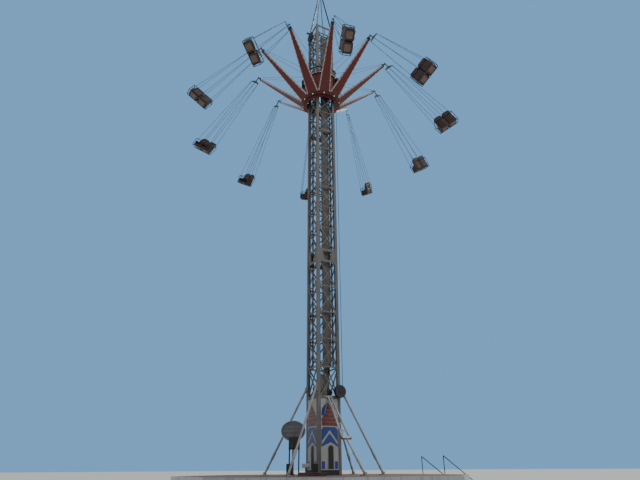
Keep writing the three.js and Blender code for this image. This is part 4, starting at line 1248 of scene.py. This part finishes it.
class RIDE_OT_oval_board(bpy.types.Operator):
    """Rims the oval board and lays plain stripes on its face"""

    bl_idname = "ride.oval_board"
    bl_label = "Oval board"

    HALF_WIDE, HALF_HIGH = 0.532, 0.415
    # Height of a stripe from the middle of the board, and its half length
    STRIPES = ((0.17, 0.33), (0.0, 0.42), (-0.17, 0.33))
    BOSS = [(0.044, 1.375), (0.085, 1.375), (0.085, 1.39), (0.056, 1.42), (0.044, 1.42), (0.044, 1.375)]

    def oval(self, share, y, steps=48):
        turns = [2 * math.pi * k / steps for k in range(steps)]
        return [(self.HALF_WIDE * share * math.cos(turn), y,
                 BOARD_HEIGHT + self.HALF_HIGH * share * math.sin(turn)) for turn in turns]

    def execute(self, context):
        rim, face, stripes, fixings = fresh(4)
        for y in (-0.028, 0.028):
            tube(rim, self.oval(0.985, y), 0.014, closed=True, place=BOARD_PLACE)
        for side in SIDES:
            slab(face, self.oval(0.955, side * 0.03), (0, side * 0.004, 0), BOARD_PLACE)
        for height, half in self.STRIPES:
            outline = [(-half, 0.0), (-half + 0.05, -0.04), (half - 0.05, -0.04), (half, 0.0),
                       (half - 0.05, 0.04), (-half + 0.05, 0.04)]
            slab(stripes, [(x, -0.034, BOARD_HEIGHT + height + z) for x, z in outline], (0, -0.002, 0),
                 BOARD_PLACE)
        for z in (2.9, BOARD_HEIGHT, 3.33):
            block(fixings, (-0.16, 0.034, z - 0.02), (0.16, 0.05, z + 0.02), BOARD_PLACE)
            bolts(fixings, [(-0.13, 0.05, z), (0.13, 0.05, z)], (0, 1, 0), 0.026, BOARD_PLACE)
        turned(fixings, self.BOSS, 24, BOARD_PLACE @ moved(0, 0.06))
        piece("board_rim", rim, "white_panel")
        piece("board_face", face, "board_face")
        piece("board_stripes", stripes, "grey_paint", flat=True, slot="white_panel")
        piece("board_fixings", fixings, "galvanised_steel")
        return {"FINISHED"}


class RIDE_OT_cabinet(bpy.types.Operator):
    """Fits the doors, hinges, latches and louvres of the control cabinet"""

    bl_idname = "ride.cabinet"
    bl_label = "Control cabinet"

    DOOR_ACROSS, DOOR_LOW, DOOR_HIGH = (0.004, 0.222), 2.372, 2.818

    def execute(self, context):
        doors, fixings = fresh(2)
        for side in SIDES:
            x0, x1 = sorted(side * x for x in self.DOOR_ACROSS)
            block(doors, (x0, -0.194, self.DOOR_LOW), (x1, -0.178, self.DOOR_HIGH), CABINET_PLACE)
        block(doors, (-0.238, -0.196, 2.822), (0.238, 0.188, 2.838), CABINET_PLACE)
        softened(doors, 0.004, 1)
        for side in SIDES:
            louvre, hinge, latch, foot = (side * x for x in (0.113, 0.224, 0.03, 0.2))
            for k in range(6):
                z = 2.43 + 0.028 * k
                block(fixings, (louvre - 0.06, -0.199, z), (louvre + 0.06, -0.193, z + 0.011), CABINET_PLACE)
            for z in (2.44, 2.75):
                bar(fixings, (hinge, -0.196, z - 0.03), (hinge, -0.196, z + 0.03), 0.007, 8,
                    place=CABINET_PLACE)
            bar(fixings, (latch, -0.194, 2.64), (latch, -0.212, 2.64), 0.014, 12, place=CABINET_PLACE)
            for y in (-0.15, 0.15):
                block(fixings, (foot - 0.04, y - 0.04, 1.351), (foot + 0.04, y + 0.04, 1.361), CABINET_PLACE)
        piece("cabinet_doors", doors, "dark_paint", flat=True)
        piece("cabinet_fixings", fixings, "galvanised_steel")
        return {"FINISHED"}


class RIDE_OT_brace_fittings(bpy.types.Operator):
    """Adds the turnbuckles, pins and bolts of the struts, and the ram of the raising frame"""

    bl_idname = "ride.brace_fittings"
    bl_label = "Brace fittings"

    HEAD, FOOT = Vector((0.6303, 0.51, 4.97)), Vector((2.25, 1.25, 1.42))
    # Place along a strut, half length and radius of each sleeve
    SLEEVES = ((0.1, 0.05, 0.058), (0.8, 0.16, 0.060), (0.93, 0.03, 0.058))
    RAM_FOOT, RAM_HEAD = Vector((0, -3.35, 1.42)), Vector((0, -2.0, 2.76))
    PLATE_TOP = 1.38

    def foot_bolts(self, shape, x, y):
        """Bolts at the corners of a foot's plate."""
        spots = [(x + a, y + b, self.PLATE_TOP) for a, b in product((-0.11, 0.11), (-0.11, 0.11))]
        bolts(shape, spots, (0, 0, 1), 0.03)

    def execute(self, context):
        sleeves, fixings = fresh(2)
        for sx, sy in product(SIDES, SIDES):
            head, foot = (Vector((sx * end.x, sy * end.y, end.z)) for end in (self.HEAD, self.FOOT))
            for t, reach, radius in self.SLEEVES:
                step = (foot - head) * (reach / (foot - head).length)
                middle = head.lerp(foot, t)
                bar(sleeves, middle - step, middle + step, radius, 16)
            bar(fixings, foot - Vector((0, 0.085, 0)), foot + Vector((0, 0.085, 0)), 0.02, 12)
            self.foot_bolts(fixings, foot.x, foot.y)
            spots = product([sx * 0.6043], (head.y - 0.045, head.y + 0.045), (head.z - 0.12, head.z + 0.12))
            bolts(fixings, spots, (sx, 0, 0), 0.026)
        head, foot = self.RAM_HEAD, self.RAM_FOOT
        for start, end, radius in ((0.06, 0.56, 0.055), (0.54, 0.58, 0.062)):
            bar(sleeves, foot.lerp(head, start), foot.lerp(head, end), radius, 20)
        for x in (-0.21, 0.21):
            bar(fixings, (x - 0.02, head.y, head.z), (x + 0.02, head.y, head.z), 0.055, 16)
        bar(fixings, (-0.09, foot.y, foot.z), (0.09, foot.y, foot.z), 0.02, 12)
        self.foot_bolts(fixings, foot.x, foot.y)
        bolts(fixings, product((-0.17, -0.12, 0.12, 0.17), [-0.5993], (4.52, 4.60)), (0, -1, 0), 0.026)
        # The sleeves take the struts' lighter grey, which is painted light
        piece("brace_sleeves", sleeves, "grey_paint_painted_lit")
        piece("brace_fixings", fixings, "galvanised_steel")
        return {"FINISHED"}


class RIDE_OT_deck_fittings(bpy.types.Operator):
    """Edges the deck in white, treads the steps, and sets the boxes and the low platform on the deck"""

    bl_idname = "ride.deck_fittings"
    bl_label = "Deck fittings"

    STEPS, GOING = 7, 0.29
    EDGE_LOW, EDGE_HIGH = 1.10, 1.352
    ON_DECK = DECK_TOP + 0.0003
    # Place, half width, half depth, foot and top of two boxes and the post of a third
    BOXES = (((-1.98, -0.77), 0.135, 0.12, ON_DECK, 1.80), ((-1.07, -1.24), 0.135, 0.12, ON_DECK, 1.80),
             ((-1.40, -1.07), 0.025, 0.025, 1.36, 1.655))
    # Place along and across of the jacks under the deck
    JACKS = ((1.25, 3.07), (3.3, 3.07), (5.3, 1.47))

    def edging(self, shape):
        half = DECK_REACH * math.tan(math.pi / 8)
        for turn in spun(8):
            block(shape, (5.99, -half + 0.004, self.EDGE_LOW), (6.004, half - 0.004, self.EDGE_HIGH), turn)
            block(shape, (5.90, -half + 0.05, 1.3495), (5.99, half - 0.05, 1.353), turn)
            for j in range(1, 4):
                y = -half + j * half / 2
                block(shape, (6.004, y - 0.01, self.EDGE_LOW), (6.008, y + 0.01, self.EDGE_HIGH), turn)

    def louvred_box(self, shape, wide, deep, low, high, place):
        box = bmesh.new()
        block(box, (-wide, -deep, low), (wide, deep, high), place)
        softened(box, 0.008, 2)
        copied(shape, mesh_of(box, "box"))
        if wide > 0.1:
            block(shape, (-wide + 0.02, -deep - 0.006, low + 0.03), (wide - 0.02, -deep, high - 0.03), place)
            for j in range(4):
                z = low + 0.08 + 0.03 * j
                block(shape, (-0.07, -deep - 0.011, z), (0.07, -deep - 0.005, z + 0.012), place)

    def execute(self, context):
        edge, treads, boxes, pale, platform, jacks = fresh(6)
        self.edging(edge)
        for k in range(1, self.STEPS):
            x, z = DECK_REACH + 0.0003 + self.GOING * (self.STEPS - 1 - k), DECK_TOP * k / self.STEPS
            for reach in (0.02, 0.10, 0.18):
                block(treads, (x + reach, -0.78, z - 0.001), (x + reach + 0.03, 0.78, z + 0.004))
        for place, *box in self.BOXES:
            stand = moved(*place) @ about("Z", VIEW_TURN)
            self.louvred_box(boxes, *box, stand)
        block(boxes, (-0.11, -0.11, self.ON_DECK), (0.11, 0.11, 1.365), stand)
        block(pale, (-0.15, -0.10, 1.65), (0.15, 0.10, 1.81), stand)
        softened(pale, 0.015, 3)
        stand = moved(-1.45, -1.84) @ about("Z", VIEW_TURN)
        block(platform, (-0.535, -0.25, self.ON_DECK), (0.535, 0.25, 1.48), stand)
        softened(platform, 0.01, 2)
        for (along, across), sx, sy in product(self.JACKS, SIDES, SIDES):
            x, y = sx * across, sy * along
            bar(jacks, (x, y, 0.03), (x, y, 0.075), 0.115, 20)
            block(jacks, (x - 0.075, y - 0.075, 0.42), (x + 0.075, y + 0.075, 0.46))
        piece("deck_edge", edge, "white_panel", flat=True)
        piece("step_treads", treads, "dark_paint", flat=True)
        piece("deck_boxes", boxes, "dark_paint", flat=True)
        piece("pale_box", pale, "white_panel")
        piece("low_platform", platform, "deck_paint", flat=True)
        piece("jack_collars", jacks, "galvanised_steel")
        return {"FINISHED"}


OPERATORS = [
    RIDE_OT_studio, RIDE_OT_finishes, RIDE_OT_seat_shells, RIDE_OT_seat_frames, RIDE_OT_chains,
    RIDE_OT_arm_trim, RIDE_OT_crown_trim, RIDE_OT_drum_trim, RIDE_OT_slew_motors, RIDE_OT_tower_joints,
    RIDE_OT_tray_and_ladder, RIDE_OT_drive, RIDE_OT_reel, RIDE_OT_head_fittings, RIDE_OT_panel_art,
    RIDE_OT_oval_board, RIDE_OT_cabinet, RIDE_OT_brace_fittings, RIDE_OT_deck_fittings,
]


class RIDE_PT_sidebar(bpy.types.Panel):
    """Lists the pieces of the ride with their sizes and colours"""

    bl_label = "Tower swing ride"
    bl_idname = "RIDE_PT_sidebar"
    bl_space_type = "VIEW_3D"
    bl_region_type = "UI"
    bl_category = "Ride"

    def draw(self, context):
        for group in (context.scene.ride_sizes, context.scene.ride_colours):
            for key in group.__annotations__:
                self.layout.prop(group, key)
        for operator in OPERATORS:
            self.layout.operator(operator.bl_idname)


CLASSES = [RideSizes, RideColours, *OPERATORS, RIDE_PT_sidebar]


def register():
    for made in CLASSES:
        bpy.utils.register_class(made)
    bpy.types.Scene.ride_sizes = bpy.props.PointerProperty(type=RideSizes)
    bpy.types.Scene.ride_colours = bpy.props.PointerProperty(type=RideColours)


def unregister():
    del bpy.types.Scene.ride_colours
    del bpy.types.Scene.ride_sizes
    for made in reversed(CLASSES):
        bpy.utils.unregister_class(made)


def main():
    register()
    for operator in OPERATORS:
        group, name = operator.bl_idname.split(".")
        getattr(getattr(bpy.ops, group), name)()


if __name__ == "__main__":
    main()
